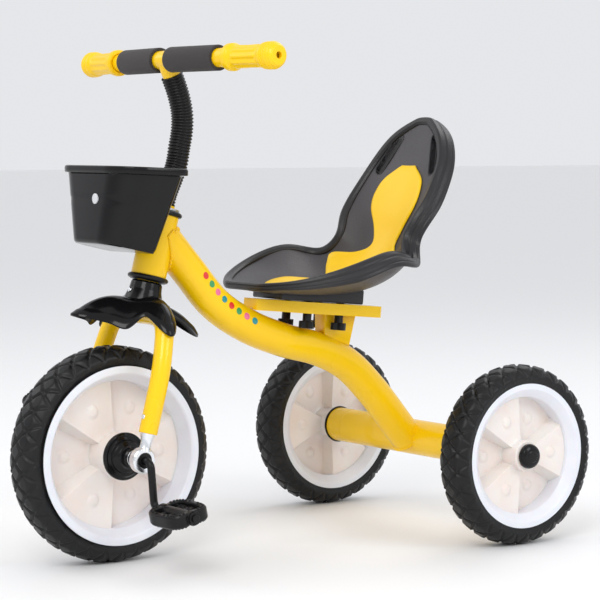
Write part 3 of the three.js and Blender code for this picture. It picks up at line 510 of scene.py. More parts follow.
def sectionsOf(path):
    # two directions square to the path at each of its points, carried along without twist
    tangents = np.gradient(path, axis=0)
    tangents /= np.linalg.norm(tangents, axis=1)[:, None]
    seed = np.array((1.0, 0, 0)) if abs(tangents[0][0]) < 0.7 else np.array((0, 0, 1.0))
    firsts = []
    for tangent in tangents:
        seed = seed - (seed @ tangent) * tangent
        seed /= np.linalg.norm(seed)
        firsts.append(seed)
    firsts = np.array(firsts)
    return tangents, firsts, np.cross(tangents, firsts)


def swept(path, radii, sides=32, soft=0):
    path = np.asarray(path, float)
    if soft:
        whole = lengthsOf(path)[-1]
        near = soft * np.array((0, 0.08, 0.25, 0.55, 1))
        between = lengthsOf(path)
        between = between[(between > soft * 1.2) & (between < whole - soft * 1.2)]
        stations = np.concatenate([near, between, whole - near[::-1]])
        fromEnd = np.minimum(np.minimum(stations, whole - stations), soft)
        path = atLengths(path, stations)
        radii = radii - soft + np.sqrt(np.maximum(soft ** 2 - (soft - fromEnd) ** 2, 0))
    radii = np.broadcast_to(np.asarray(radii, float), len(path))
    _, first, second = sectionsOf(path)
    angles = 2 * math.pi * np.arange(sides) / sides
    ring = first[:, None] * np.cos(angles)[:, None] + second[:, None] * np.sin(angles)[:, None]
    points = (path[:, None] + radii[:, None, None] * ring).reshape(-1, 3)
    faces = gridFaces(len(path), sides, False, True)
    faces.append(tuple(range(sides)))
    faces.append(tuple(range(len(points) - sides, len(points)))[::-1])
    return points, faces


def banded(path, outward, upward, section):
    # a closed loop with the same section all round; section points are (out, up)
    section = np.asarray(section, float)
    points = (
        np.asarray(path)[:, None] + section[None, :, 0:1] * outward[:, None]
        + section[None, :, 1:2] * upward[:, None])
    return points.reshape(-1, 3), gridFaces(len(path), len(section), True, True)


def plateOf(top, bottom, wrapped=False):
    # a closed plate between two grids of points
    rows, columns = top.shape[:2]
    points = np.concatenate([top.reshape(-1, 3), bottom.reshape(-1, 3)])
    count = rows * columns
    faces = gridFaces(rows, columns, wrapped) + gridFaces(rows, columns, wrapped, start=count)
    rim = []
    if wrapped:
        rim.append([i * columns for i in range(rows)] + [0])
        rim.append([i * columns + columns - 1 for i in range(rows)] + [columns - 1])
    else:
        loop = list(range(columns)) + [i * columns + columns - 1 for i in range(1, rows)]
        loop += [(rows - 1) * columns + j for j in range(columns - 2, -1, -1)]
        loop += [i * columns for i in range(rows - 2, -1, -1)]
        rim.append(loop)
    for loop in rim:
        faces.extend((a, b, b + count, a + count) for a, b in zip(loop, loop[1:]))
    return points, faces


def boxRing(halfX, nearY, farY, corner, farCorner, steps=8):
    # a rounded rectangle as (x, y) points, anticlockwise from its right rear corner
    points = []
    quarters = (
        (1, farY, -1, farCorner), (-1, farY, -1, farCorner), (-1, nearY, 1, corner), (1, nearY, 1, corner))
    for quarter, (side, y, inward, radius) in enumerate(quarters):
        for i in range(steps + 1):
            angle = math.pi / 2 * (quarter + i / steps)
            points.append((
                side * (halfX - radius) + radius * math.cos(angle),
                y + inward * radius + radius * math.sin(angle)))
    return np.array(points)


def filledRings(rings):
    # a closed skin over stacked rings of points
    count = len(rings[0])
    points = np.concatenate(rings)
    faces = gridFaces(len(rings), count, False, True)
    faces.append(tuple(range(count)))
    faces.append(tuple(range(len(points) - count, len(points)))[::-1])
    return points, faces


# Geometry node trees

def treeWith(name, inputs):
    tree = bpy.data.node_groups.new(name, "GeometryNodeTree")
    tree.interface.new_socket("Geometry", in_out="INPUT", socket_type="NodeSocketGeometry")
    tree.interface.new_socket("Geometry", in_out="OUTPUT", socket_type="NodeSocketGeometry")
    for label, (kind, value) in inputs.items():
        socket = tree.interface.new_socket(label, in_out="INPUT", socket_type=kind)
        if value is not None:
            socket.default_value = value
    graph = Graph(tree)
    return graph, graph.add("NodeGroupInput").outputs, graph.add("NodeGroupOutput").inputs


def realized(graph, many, given, result):
    # the end of each tree: real geometry that carries its finish
    real = graph.add("GeometryNodeRealizeInstances", None, {"Geometry": many.outputs[0]})
    done = graph.add("GeometryNodeSetMaterial", None, {
        "Geometry": real.outputs[0], "Material": given["Finish"]})
    graph.feed(result["Geometry"], done.outputs[0])
    return graph.tree


def ribTree():
    graph, given, result = treeWith("ribsAlongPath", {
        "Pitch": ("NodeSocketFloat", 0.0023), "Ring radius": ("NodeSocketFloat", 0.0125),
        "Rib radius": ("NodeSocketFloat", 0.001), "Finish": ("NodeSocketMaterial", None)})
    line = graph.add("GeometryNodeMeshToCurve", None, {"Mesh": given["Geometry"]})
    stations = graph.add("GeometryNodeCurveToPoints", {"mode": "LENGTH"}, {
        "Curve": line.outputs[0], "Length": given["Pitch"]})
    ring, section = [
        graph.add("GeometryNodeCurvePrimitiveCircle", None, {"Resolution": sides, "Radius": given[radius]})
        for sides, radius in ((36, "Ring radius"), (8, "Rib radius"))]
    rib = graph.add("GeometryNodeCurveToMesh", None, {
        "Curve": ring.outputs[0], "Profile Curve": section.outputs[0]})
    many = graph.add("GeometryNodeInstanceOnPoints", None, {
        "Points": stations.outputs["Points"], "Instance": rib.outputs[0],
        "Rotation": stations.outputs["Rotation"]})
    return realized(graph, many, given, result)


def studTree():
    graph, given, result = treeWith("studsOnPoints", {
        "Radius": ("NodeSocketFloat", 0.002), "Height": ("NodeSocketFloat", 0.001),
        "Sides": ("NodeSocketInt", 12), "Rings": ("NodeSocketInt", 6),
        "Finish": ("NodeSocketMaterial", None)})
    facing = graph.add("GeometryNodeInputNamedAttribute", {"data_type": "FLOAT_VECTOR"}, {"Name": "facing"})
    turn = graph.add("FunctionNodeAlignRotationToVector", {"axis": "Z"}, {"Vector": facing.outputs[0]})
    ball = graph.add("GeometryNodeMeshUVSphere", None, {
        "Segments": given["Sides"], "Rings": given["Rings"], "Radius": 1.0})
    size = graph.add("ShaderNodeCombineXYZ", None, {
        "X": given["Radius"], "Y": given["Radius"], "Z": given["Height"]})
    dome = graph.add("GeometryNodeTransform", None, {"Geometry": ball.outputs[0], "Scale": size.outputs[0]})
    many = graph.add("GeometryNodeInstanceOnPoints", None, {
        "Points": given["Geometry"], "Instance": dome.outputs[0], "Rotation": turn.outputs[0]})
    return realized(graph, many, given, result)


trees = {"ribs": ribTree(), "studs": studTree()}


def grown(tree, base, settings):
    # the tree's result on the base mesh, as a plain mesh
    piece = looseObject("grown", base)
    modifier = piece.modifiers.new("grow", "NODES")
    modifier.node_group = trees[tree]
    for item in trees[tree].interface.items_tree:
        if item.in_out == "INPUT" and item.name in settings:
            modifier[item.identifier] = settings[item.name]
    mesh = settled(piece)
    bpy.data.objects.remove(piece)
    for polygon in mesh.polygons:
        polygon.use_smooth = True
    return mesh


def studs(name, points, facings, radius, height, finish, body, sides=12, rings=6):
    base = bpy.data.meshes.new(name + "Points")
    base.from_pydata((np.asarray(points) * metresPerMm).tolist(), [], [])
    facing = base.attributes.new("facing", "FLOAT_VECTOR", "POINT")
    facing.data.foreach_set("vector", np.asarray(facings, np.float32).reshape(-1))
    mesh = grown("studs", base, {
        "Radius": radius * metresPerMm, "Height": height * metresPerMm, "Sides": sides, "Rings": rings,
        "Finish": finishes[finish]})
    return place(name, mesh, finish, body)


def beadRow(name, path, radius, pitch, finish, body):
    # a row of low beads along a closed line, as a weld leaves
    path = np.concatenate([path, path[:1]])
    whole = lengthsOf(path)[-1]
    points = atLengths(path, np.arange(0, whole - pitch / 2, pitch))
    ahead = np.roll(points, -1, 0) - np.roll(points, 1, 0)
    return studs(name, points, ahead, radius, radius * 0.8, finish, body, 10, 6)


print("stage: helpers ready")


# Frame: main tube, head tube, rear axle tube

def makeMainTube():
    size = {"radius": 21, "startAlong": 267, "headRadius": 21, "axleRadius": 22.5, "beadRadius": 1.9}
    bow = (
        (0, 0), (0.112, 19), (0.204, 33), (0.328, 28.5), (0.466, 10.5), (0.59, -11), (0.71, -22),
        (0.814, -14.5), (0.921, 3), (0.964, 10))
    start = fromHead((0, 0, size["startAlong"]))
    end = frontHub * (1, 0, 0) + rearHubs["left"] * (0, 1, 1)
    path = smoothLine([start + (end - start) * share - (0, 0, drop) for share, drop in bow], 110)
    tube = swept(path, size["radius"], 48)
    headSpace = swept([fromHead((0, 0, 150)), fromHead((0, 0, 380))], size["headRadius"] - 1.2, 48)
    mesh = cutMesh("mainTube", tube, headSpace)
    place("mainTube", mesh, "yellowPaint", "frame", ["main_tube"])

    # where the tube's skin meets the head tube and the axle tube
    _, first, second = sectionsOf(path)
    headLine, axleLine = [], []
    for angle in np.linspace(0, 2 * math.pi, 60, endpoint=False):
        skin = path + size["radius"] * (first * math.cos(angle) + second * math.sin(angle))
        local = (skin - frontHub) @ np.array([(1, 0, 0), headBack, headUp]).T
        off = np.hypot(local[:, 0], local[:, 1]) - size["headRadius"]
        i = int(np.argmax((off > 0) & (local[:, 1] > 0)))
        headLine.append(skin[i])
        fromAxle = np.hypot(skin[:, 1] - end[1], skin[:, 2] - end[2]) - size["axleRadius"]
        axleLine.append(skin[int(np.argmax(fromAxle < 0))] if (fromAxle < 0).any() else skin[-1])
    beadRow("headWeld", np.array(headLine), size["beadRadius"], 2.6, "yellowPaint", "frame")
    beadRow("axleWeld", np.array(axleLine), size["beadRadius"], 2.6, "yellowPaint", "frame")
    return path


def makeHeadset():
    tube = filleted([(21, 213), (21, 287), (18.5, 287), (18.5, 213)], 1)
    points, faces = turned(tube, 64)
    makePiece("headTube", (fromHead(points), faces), "yellowPaint", "frame", ["head_tube"])
    cups = {"radius": 24.5, "height": 6.3, "bore": 14.6, "spigot": 18.2}
    for name, seat, away in (("lower", 213, -1), ("upper", 287, 1)):
        profile = filleted([
            (cups["radius"] - 1.5, seat), (cups["radius"], seat + away * 2.2),
            (cups["radius"] - 0.8, seat + away * 4.6, 1.2), (20.5, seat + away * cups["height"], 1),
            (cups["bore"], seat + away * cups["height"]), (cups["bore"], seat - away * 10),
            (cups["spigot"], seat - away * 10), (cups["spigot"], seat)], 0.7)
        points, faces = turned(profile, 64)
        makePiece(
            f"headsetCup.{name}", (fromHead(points), faces), "blackSatin", "frame", [f"headset_cup_{name}"])


def makeRearAxleTube():
    size = {"radius": 22.5, "bore": 20.5, "half": 164}
    profile = filleted([
        (size["radius"], -size["half"]), (size["radius"], size["half"]),
        (size["bore"], size["half"]), (size["bore"], -size["half"])], 0.9)
    points, faces = turned(profile, 64, True)
    middle = rearHubs["left"] * (0, 1, 1)
    makePiece("rearAxleTube", (points + middle, faces), "yellowPaint", "frame", ["rear_axle_tube"])
    for side, sign in signs.items():
        ring = filleted([
            (24, 164.3, 0.3), (24.3, 165.6), (23.2, 167.3), (5.5, 167.3), (5.5, 152), (19.8, 152),
            (19.8, 164.3)], 0.8)
        points, faces = turned(ring * (1, sign), 64, True)
        makePiece(
            f"axleBush.{side}", (points + middle, faces), "blackSatin", "frame", [f"axle_bush_{side}"])


def makeRail():
    softCopy("seatRail", "seat_rail", "yellowPaint", "frame", 0.8)
    softCopy("railBracket", "rail_bracket", "yellowPaint", "frame", 0.7)
    for row in ("front", "rear"):
        for side in ("left", "right"):
            name = f"{row}_{side}"
            softCopy(f"seatKnob.{name}", f"seat_knob_{name}", "blackSatin", f"knob_{name}", 0.9)
            softCopy(f"seatBolt.{name}", f"seat_bolt_{name}", "blackSatin", "seat", 0.4)


mainPath = makeMainTube()
makeHeadset()
makeRearAxleTube()
makeRail()
print("stage: frame made")


# Wheels

def treadShape(wheel):
    # diagonal grooves that cross and leave diamond blocks, fading out down the side walls
    blocks = round(2 * math.pi * wheel["radius"] / wheel["blockLength"])

    def shape(angle, radius, along):
        turn = angle * blocks / (2 * math.pi)
        slant = along / (2 * wheel["blockWidth"])
        depth = 0
        for phase in (turn + slant, turn - slant):
            gap = np.abs(phase - np.round(phase)) * wheel["blockLength"] * 0.8
            depth = np.maximum(depth, np.clip(1.5 - gap / (wheel["grooveWidth"] / 2), 0, 1))
        top = np.clip((radius - wheel["grooveFrom"]) / 4, 0, 1)
        return radius - wheel["grooveDepth"] * depth * top

    return shape


def tyreProfile(wheel, step):
    # from the bead over the crown and back; evenly stepped where the tread is
    half, radius = wheel["half"], wheel["radius"]
    corner = [
        (wheel["seat"], half - 1.5), (wheel["seat"] + 7, half), (radius - 12, half),
        (radius - 3.2, 0.72 * half), (radius, 0.3 * half)]
    outline = filleted(
        [*corner, *[(r, -x) for r, x in reversed(corner)]], 9, 10, False)
    line = np.column_stack([outline, np.zeros(len(outline))])
    whole = lengthsOf(line)[-1]
    fine = atLengths(line, np.linspace(0, whole, int(whole / step)))[:, :2]
    inner = wheel["seat"] - 3
    return np.concatenate([fine, [(inner, -half + 3), (inner, half - 3)]])


def makeTyre(name, hub, wheel, body, node):
    profile = tyreProfile(wheel, 1.45)
    points, faces = turned(profile, wheel["steps"], True, True, treadShape(wheel))
    makePiece(name, (points + hub, faces), "tyre", body, [node])


def makeRim(name, hub, wheel, body, node, sign=1):
    # barrel and lips
    r, half = wheel["rimRadius"], wheel["rimHalf"]
    side = [
        (r - 18, 13, 4), (r - 10, half - 1.5, 2), (r - 8, half, 1.2), (r - 1, half, 1.2),
        (r, half - 0.6, 0.8), (r, half - 2.4, 0.6), (r - 5.5, half - 3, 1)]
    profile = filleted([*side, *[(a, -x, s) for a, x, s in reversed(side)]], 1, 5)
    points, faces = turned(profile, 144, True)
    makePiece(name + ".lip", (points + hub, faces), "wheelLip", body)

    # the disc: six sectors nearer one face and the other by turns, each with a low dome
    disc = {
        "sectors": 6, "offset": 8, "thick": 1.6, "steps": 288, "rings": 34, "turnOver": 3.6, "domeAt": 0.52,
        "domeHeight": 2.4, "skirt": 2.5, "skirtReach": 9}
    inner, outer = wheel["hubRadius"] - 1.5, r - 14
    angles = np.linspace(0, 2 * math.pi, disc["steps"], endpoint=False)
    radii = np.linspace(inner, outer, disc["rings"])
    share = angles / (2 * math.pi) * disc["sectors"]
    fromEdge = np.abs(share - np.round(share)) * 360 / disc["sectors"]
    ease = np.clip(fromEdge / disc["turnOver"], 0, 1)
    ease = ease * ease * (3 - 2 * ease)
    level = np.where(np.floor(share).astype(int) % 2 == 1, disc["offset"], -disc["offset"]) * ease
    middle = (np.floor(share) + 0.5) * 2 * math.pi / disc["sectors"]
    domeAt = inner + (outer - inner) * disc["domeAt"]
    away = np.sqrt(
        radii[None] ** 2 + domeAt ** 2 - 2 * radii[None] * domeAt * np.cos(angles - middle)[:, None])
    dome = disc["domeHeight"] * np.sqrt(np.clip(1 - (away / wheel["dome"]) ** 2, 0, 1))
    hubSkirt = disc["skirt"] * np.clip(1 - (radii[None] - inner) / disc["skirtReach"], 0, 1) ** 2
    lift = dome + hubSkirt
    x = np.broadcast_to(level[:, None], lift.shape)
    y, z = radii * np.sin(angles)[:, None], radii * np.cos(angles)[:, None]
    top = np.stack([x + disc["thick"] + lift, y, z], -1)
    bottom = np.stack([x - disc["thick"] - lift, y, z], -1)
    web = plateOf(top, bottom, True)
    hubRadius, hole = wheel["hubRadius"], wheel["bore"]
    hubProfile = filleted([
        (hubRadius, -half + 0.3), (hubRadius, half - 0.3), (hubRadius - 5, half), (hole, half),
        (hole, -half), (hubRadius - 5, -half)], 1.5)
    barrel = turned(hubProfile, 72, True)
    points, faces = joined(web, barrel)
    makePiece(name + ".disc", (points * (sign, 1, 1) + hub, faces), "wheelWeb", body, [node])


frontWheel = {
    "radius": 127, "half": 25, "seat": 104, "steps": 720, "blockLength": 25, "blockWidth": 13,
    "grooveWidth": 3.6, "grooveDepth": 2.3, "grooveFrom": 107.5, "rimRadius": 105, "rimHalf": 28.7,
    "hubRadius": 27, "bore": 12, "dome": 7.5,
}
rearWheel = {
    "radius": 110, "half": 23, "seat": 88.5, "steps": 640, "blockLength": 25, "blockWidth": 13,
    "grooveWidth": 3.6, "grooveDepth": 2.3, "grooveFrom": 92, "rimRadius": 89.4, "rimHalf": 21.4,
    "hubRadius": 19, "bore": 5.3, "dome": 7,
}
makeTyre("frontTyre", frontHub, frontWheel, "front_wheel", "front_tyre")
makeRim("frontRim", frontHub, frontWheel, "front_wheel", "front_rim")
for side, sign in signs.items():
    makeTyre(f"rearTyre.{side}", rearHubs[side], rearWheel, f"rear_wheel_{side}", f"rear_tyre_{side}")
    makeRim(f"rearRim.{side}", rearHubs[side], rearWheel, f"rear_wheel_{side}", f"rear_rim_{side}", sign)


def makeHubs():
    # flanges that hold the front wheel on its axle, and the rear wheels' caps
    flange = filleted([
        (28, 29, 0.5), (28, 32.4, 1.2), (25, 33.2, 1), (23.5, 32.6, 0.6), (20, 33.6, 1), (18.5, 38, 2),
        (13.5, 40.5, 2), (12.2, 43.5), (12, 50, 1), (10, 52, 0.8), (4.9, 52), (4.9, 19), (11.6, 19),
        (11.6, 29)], 0.8)
    for side, sign in signs.items():
        points, faces = turned(flange * (1, sign), 72, True)
        makePiece(
            f"hubFlange.{side}", (points + frontHub, faces), "blackGloss", "front_wheel",
            [f"hub_flange_{side}"])
        washer = filleted([(10, 52.4), (10, 54.2), (4.9, 54.2), (4.9, 52.4)], 0.5)
        points, faces = turned(washer * (1, sign), 48, True)
        makePiece(
            f"hubWasher.{side}", (points + frontHub, faces), "chrome", "front_wheel", [f"hub_washer_{side}"])
        cap = filleted([
            (0, 31.7, 0), (6.5, 31.6, 1), (7.5, 31, 0.6), (10.5, 30.8, 2), (13.6, 29, 2), (15, 26, 1),
            (15, 22.5, 0.5), (14.2, 21.7, 0.4), (9.6, 21.7, 0.4), (9.6, 29, 0.5), (0, 29, 0)], 1, 5, False)
        points, faces = turned(cap * (1, sign), 64, True, False)
        makePiece(
            f"hubcap.{side}", (points + rearHubs[side], faces), "blackGloss", f"rear_wheel_{side}",
            [f"hubcap_{side}"])


def makeCranks():
    size = {"radius": 4.5, "arm": 88, "length": 54, "bend": 9, "end": 176}
    side = [(size["arm"], 0, 0), (size["arm"], 0, -size["length"]), (size["end"], 0, -size["length"])]
    points = [(-x, y, -z) for x, y, z in reversed(side)] + side
    points, faces = swept(roundedLine([fromCrank(p) for p in points], size["bend"]), size["radius"], 28, 0.7)
    makePiece("crankAxle", (points, faces), "blackSatin", "front_wheel", ["crank_axle"])


def makePedal(side):
    size = {"from": 105, "width": 66, "half": 27, "tilt": {"left": 12, "right": 30}[side]}
    sign = signs[side]
    tilt = math.radians(size["tilt"])
    pin = fromCrank((sign * (size["from"] + size["width"] / 2), 0, -sign * 54))
    toPedal = frameAt(pin, (0, math.cos(tilt), math.sin(tilt)), (0, -math.sin(tilt), math.cos(tilt)))
    half, long = size["half"], size["width"] / 2

    # the outer frame: two lobes with a waist between, at the pin
    loop = []
    for angle in np.linspace(0, 2 * math.pi, 120, endpoint=False):
        c, s = math.cos(angle), math.sin(angle)
        x = (long - 4) * abs(c) ** 0.55 * np.sign(c)
        y = (half - 4) * abs(s) ** 0.55 * np.sign(s)
        x *= 1 - 0.16 * math.exp(-(y / 7) ** 2)
        loop.append((x, y, 0))
    loop = np.array(loop)
    ahead = np.roll(loop, -1, 0) - np.roll(loop, 1, 0)
    outward = np.column_stack([ahead[:, 1], -ahead[:, 0], ahead[:, 2]])
    outward /= np.linalg.norm(outward, axis=1)[:, None]
    upward = np.broadcast_to(np.array((0, 0, 1.0)), loop.shape)
    section = filleted([
        (3.8, -5.5), (3.8, 5.5), (2.4, 7.6), (-2.4, 7.6), (-3.2, 6), (-3.2, -6), (-2.4, -7.6),
        (2.4, -7.6)], 1)
    band = banded(loop, outward, upward, section)
    bar = turned(filleted([
        (8.6, -long + 0.3, 1), (8.6, -long + 7), (7.4, -long + 9), (7.4, long - 9), (8.6, long - 7),
        (8.6, long - 0.3, 1), (4.9, long - 0.3), (4.9, -long + 0.3)], 1), 40, True)
    ribs = []
    for x in (-16, 0, 16):
        ribs.append(swept([(x, -half + 4, 0), (x, half - 4, 0)], 3.6, 16))
    for y in (-15, 15):
        ribs.append(swept([(-long + 5, y, 0), (long - 5, y, 0)], 3.4, 16))
    points, faces = joined(band, bar, *ribs)
    makePiece(f"pedal.{side}", (toPedal(points), faces), "blackSatin", f"pedal_{side}", [f"pedal_{side}"])

    # studs on the treads, above and below
    spots, facings = [], []
    for face in (-1, 1):
        for point, out in zip(loop[::4], outward[::4]):
            spots.append(point + (0, 0, face * 7.7))
            facings.append((0, 0, face))
        for x in np.arange(-24, 25, 8):
            for y in (-15, 15):
                spots.append((x, y, face * 3.4))
                facings.append((0, 0, face))
    axes = toPedal(facings) - pin
    studs(f"pedalStuds.{side}", toPedal(spots), axes, 1.7, 1.3, "blackSatin", f"pedal_{side}", 10, 6)


makeHubs()
makeCranks()
makePedal("left")
makePedal("right")
print("stage: wheels and pedals made")


# Fork, fender, stem and bar

def makeFork():
    size = {"radius": 11, "crown": 167, "half": 70, "foot": 31}
    leg = [
        (0, size["crown"]), (22, size["crown"]), (40, 165), (53, 159), (60, 148), (64, 133), (68, 114),
        (size["half"], 94), (size["half"], size["foot"])]
    left = smoothLine([(x, 0, s) for x, s in leg], 60)
    line = np.concatenate([left[:0:-1] * (-1, 1, 1), left])
    points, faces = swept(line, size["radius"], 40, 1.2)
    makePiece("forkArch", (fromHead(points), faces), "yellowPaint", "steering", ["fork_arch"])

    # plated eyes that hold the axle
    eye = {"radius": 15, "bore": 9, "half": 6, "edge": 4.6, "chamfer": 1.6}
    for side, sign in signs.items():
        shoulder = eye["radius"] - eye["chamfer"]
        ring = filleted([
            (eye["radius"], -eye["edge"]), (eye["radius"], eye["edge"]), (shoulder, eye["half"]),
            (eye["bore"], eye["half"]), (eye["bore"], -eye["half"]), (shoulder, -eye["half"])], 0.8)
        neck = [(0, 0, z) for z in (11, 13, 16, 20, 25, 30, 34)]
        swell = swept(neck, np.array((8.2, 7.4, 6.8, 6.6, 7.0, 8.4, 8.8)), 32)
        points, faces = joined(turned(ring, 56, True), swell)
        makePiece(
            f"forkEnd.{side}", (fromHead(points + (sign * size["half"], 0, 0)), faces), "chrome", "steering",
            [f"fork_end_{side}"])
    spots, facings = [], []
    for sign in (1, -1):
        for face in (-1, 1):
            spots.append(fromHead((sign * size["half"], face * (size["radius"] - 0.2), 49)))
            facings.append(headBack * face)
    studs("legRivets", spots, facings, 3.1, 1.5, "chrome", "steering", 20, 10)


def makeFender():
    petals = (
        (0, 91, 183, 37), (24, 62, 183, 36), (46, 55, 184, 38), (66, 50, 187, 22), (90, 77, 190, 42),
        (116, 40, 187, 9), (142, 34, 184, 5), (163, 58, 184, 14), (180, 85, 184, 25))
    size = {"thickness": 2.6, "bend": 2.6, "inner": 15, "perPetal": 12, "rows": 26, "beak": 3}
    full = list(petals) + [(360 - a, r, h, d) for a, r, h, d in reversed(petals[1:-1])]
    values = [p[1:] for p in full]
    top, bottom = [], []
    shares = np.linspace(0, 1, size["rows"])
    for i, petal in enumerate(full):
        following = full[i + 1][0] if i + 1 < len(full) else 360
        for k in range(size["perPetal"]):
            t = k / size["perPetal"]
            turn = math.radians(petal[0] + (following - petal[0]) * t)
            reach, height, drop = curvePoint(values, (i + t) / len(full), True, True)
            r = size["inner"] + (reach - size["inner"]) * shares
            beak = size["beak"] * max(math.cos(turn), 0) ** 6 * np.clip((shares - 0.86) / 0.14, 0, 1) ** 2
            ridge = 1.3 * np.exp(-((shares - 0.93) / 0.035) ** 2)
            z = height - drop * shares ** size["bend"] + beak + ridge
            row = np.stack([r * math.sin(turn), -r * math.cos(turn), z], -1)
            top.append(row)
            bottom.append(row - (0, 0, size["thickness"]) - np.outer(ridge, (0, 0, 1)))
    plate = plateOf(np.array(top), np.array(bottom), True)
    collar = turned(filleted([
        (24, 180), (23, 184, 2), (19.5, 196, 3), (18.6, 204, 1), (17, 206, 1), (14.5, 206),
        (14.5, 180)], 0.8), 64)
    shape = joined(plate, collar)
    makePiece("fender", (fromHead(shape[0]), shape[1]), "blackGloss", "steering", ["fender"])
    studs("fenderScrew", [fromHead((0, -21.4, 192))], [-headBack], 3.2, 1.6, "chrome", "steering", 20, 10)


barMiddle = fromHub((0, 79, 460))
stemCurve = smoothLine([
    fromHead((0, 0, 312)), *[fromHub((0, y, z)) for y, z in (
        (93, 336), (97, 356), (101, 376), (101.5, 397), (95.5, 422))], barMiddle], 60)


def makeStem():
    size = {"radius": 11, "sleeve": 12.1, "foot": 299.3, "belowBar": 18, "pitch": 3.7, "rib": 1.4}
    path = np.concatenate([[fromHead((0, 0, 262)), fromHead((0, 0, 290))], stemCurve])
    makePiece("stemTube", swept(path, size["radius"], 40), "yellowPaint", "steering", ["stem_tube"])
    sleeved = stemCurve[np.linalg.norm(stemCurve - barMiddle, axis=1) > size["belowBar"]]
    line = np.concatenate([[fromHead((0, 0, size["foot"]))], sleeved])
    shape = swept(line, size["sleeve"], 48, 0.8)
    makePiece("stemSleeve", shape, "blackSatin", "steering", ["stem_sleeve"])
    base = bpy.data.meshes.new("sleeveLine")
    inner = atLengths(line, np.linspace(1.5, lengthsOf(line)[-1] - 1.5, 160))
    base.from_pydata((inner * metresPerMm).tolist(), [(i, i + 1) for i in range(len(inner) - 1)], [])
    mesh = grown("ribs", base, {
        "Pitch": size["pitch"] * metresPerMm, "Ring radius": size["sleeve"] * metresPerMm,
        "Rib radius": size["rib"] * metresPerMm, "Finish": finishes["blackSatin"]})
    place("sleeveRibs", mesh, "blackSatin", "steering")


def makeBar():
    size = {"radius": 11, "half": 197, "sweep": 17, "middle": 8, "behind": 79, "height": 460, "bend": 60}
    ends = ((size["middle"], size["behind"]), (size["half"], size["behind"] + size["sweep"]))
    corners = [fromHub((-x, y, size["height"])) for x, y in reversed(ends)]
    corners += [fromHub((x, y, size["height"])) for x, y in ends]
    path = roundedLine(corners, size["bend"], 8)
    makePiece("handlebar", swept(path, size["radius"], 40, 1), "yellowPaint", "steering", ["handlebar"])
    foamProfile = filleted([(15, 12), (15, 101), (11.2, 101), (11.2, 12)], 2.2)
    gripProfile = filleted([
        (11.2, 119), (14.6, 119, 1.5), (16, 121.5), (16, 128), (14, 131, 1.5), (13, 134, 2), (12.4, 158, 20),
        (13, 180, 3), (15.2, 184, 2.5), (15.8, 190, 3), (15.8, 198, 3), (13.4, 203, 3), (10.5, 206, 1.5),
        (4, 206, 0.6), (4, 200), (11.2, 200)], 1)

    def flutes(angle, radius, along):
        waist = np.clip((along - 134) / 4, 0, 1) * np.clip((179 - along) / 4, 0, 1)
        rings = np.clip((along - 185) / 2, 0, 1) * np.clip((203 - along) / 2, 0, 1)
        outside = radius > 12.1
        carved = 0.8 * waist * np.cos(10 * angle) - 0.35 * rings * (1 + np.cos(along * 1.9))
        return radius + outside * carved

    # extra stations so that the flutes and rings show
    long = np.column_stack([gripProfile, np.zeros(len(gripProfile))])
    long = np.concatenate([long, long[:1]])
    gripProfile = atLengths(long, np.linspace(0, lengthsOf(long)[-1], 260))[:-1, :2]
    slope = math.atan2(size["sweep"], size["half"] - size["middle"])
    for side, sign in signs.items():
        out = np.array((sign * math.cos(slope), math.sin(slope), 0))
        level = np.array((-sign * math.sin(slope), math.cos(slope), 0))
        bend = fromHub((sign * size["middle"], size["behind"], size["height"]))
        for piece, profile, steps, shape, finish in (
                ("foam", foamProfile, 56, None, "foam"), ("grip", gripProfile, 112, flutes, "yellowPlastic")):
            local, faces = turned(profile, steps, False, True, shape)
            points = (
                bend + np.outer(local[:, 2] - size["middle"], out) + np.outer(local[:, 0], level)
                + np.outer(local[:, 1], (0, 0, 1)))
            makePiece(f"{piece}.{side}", (points, faces), finish, "steering", [f"{piece}_{side}"])


makeFork()
makeFender()
makeStem()
makeBar()
print("stage: fork, fender, stem and bar made")


# Basket

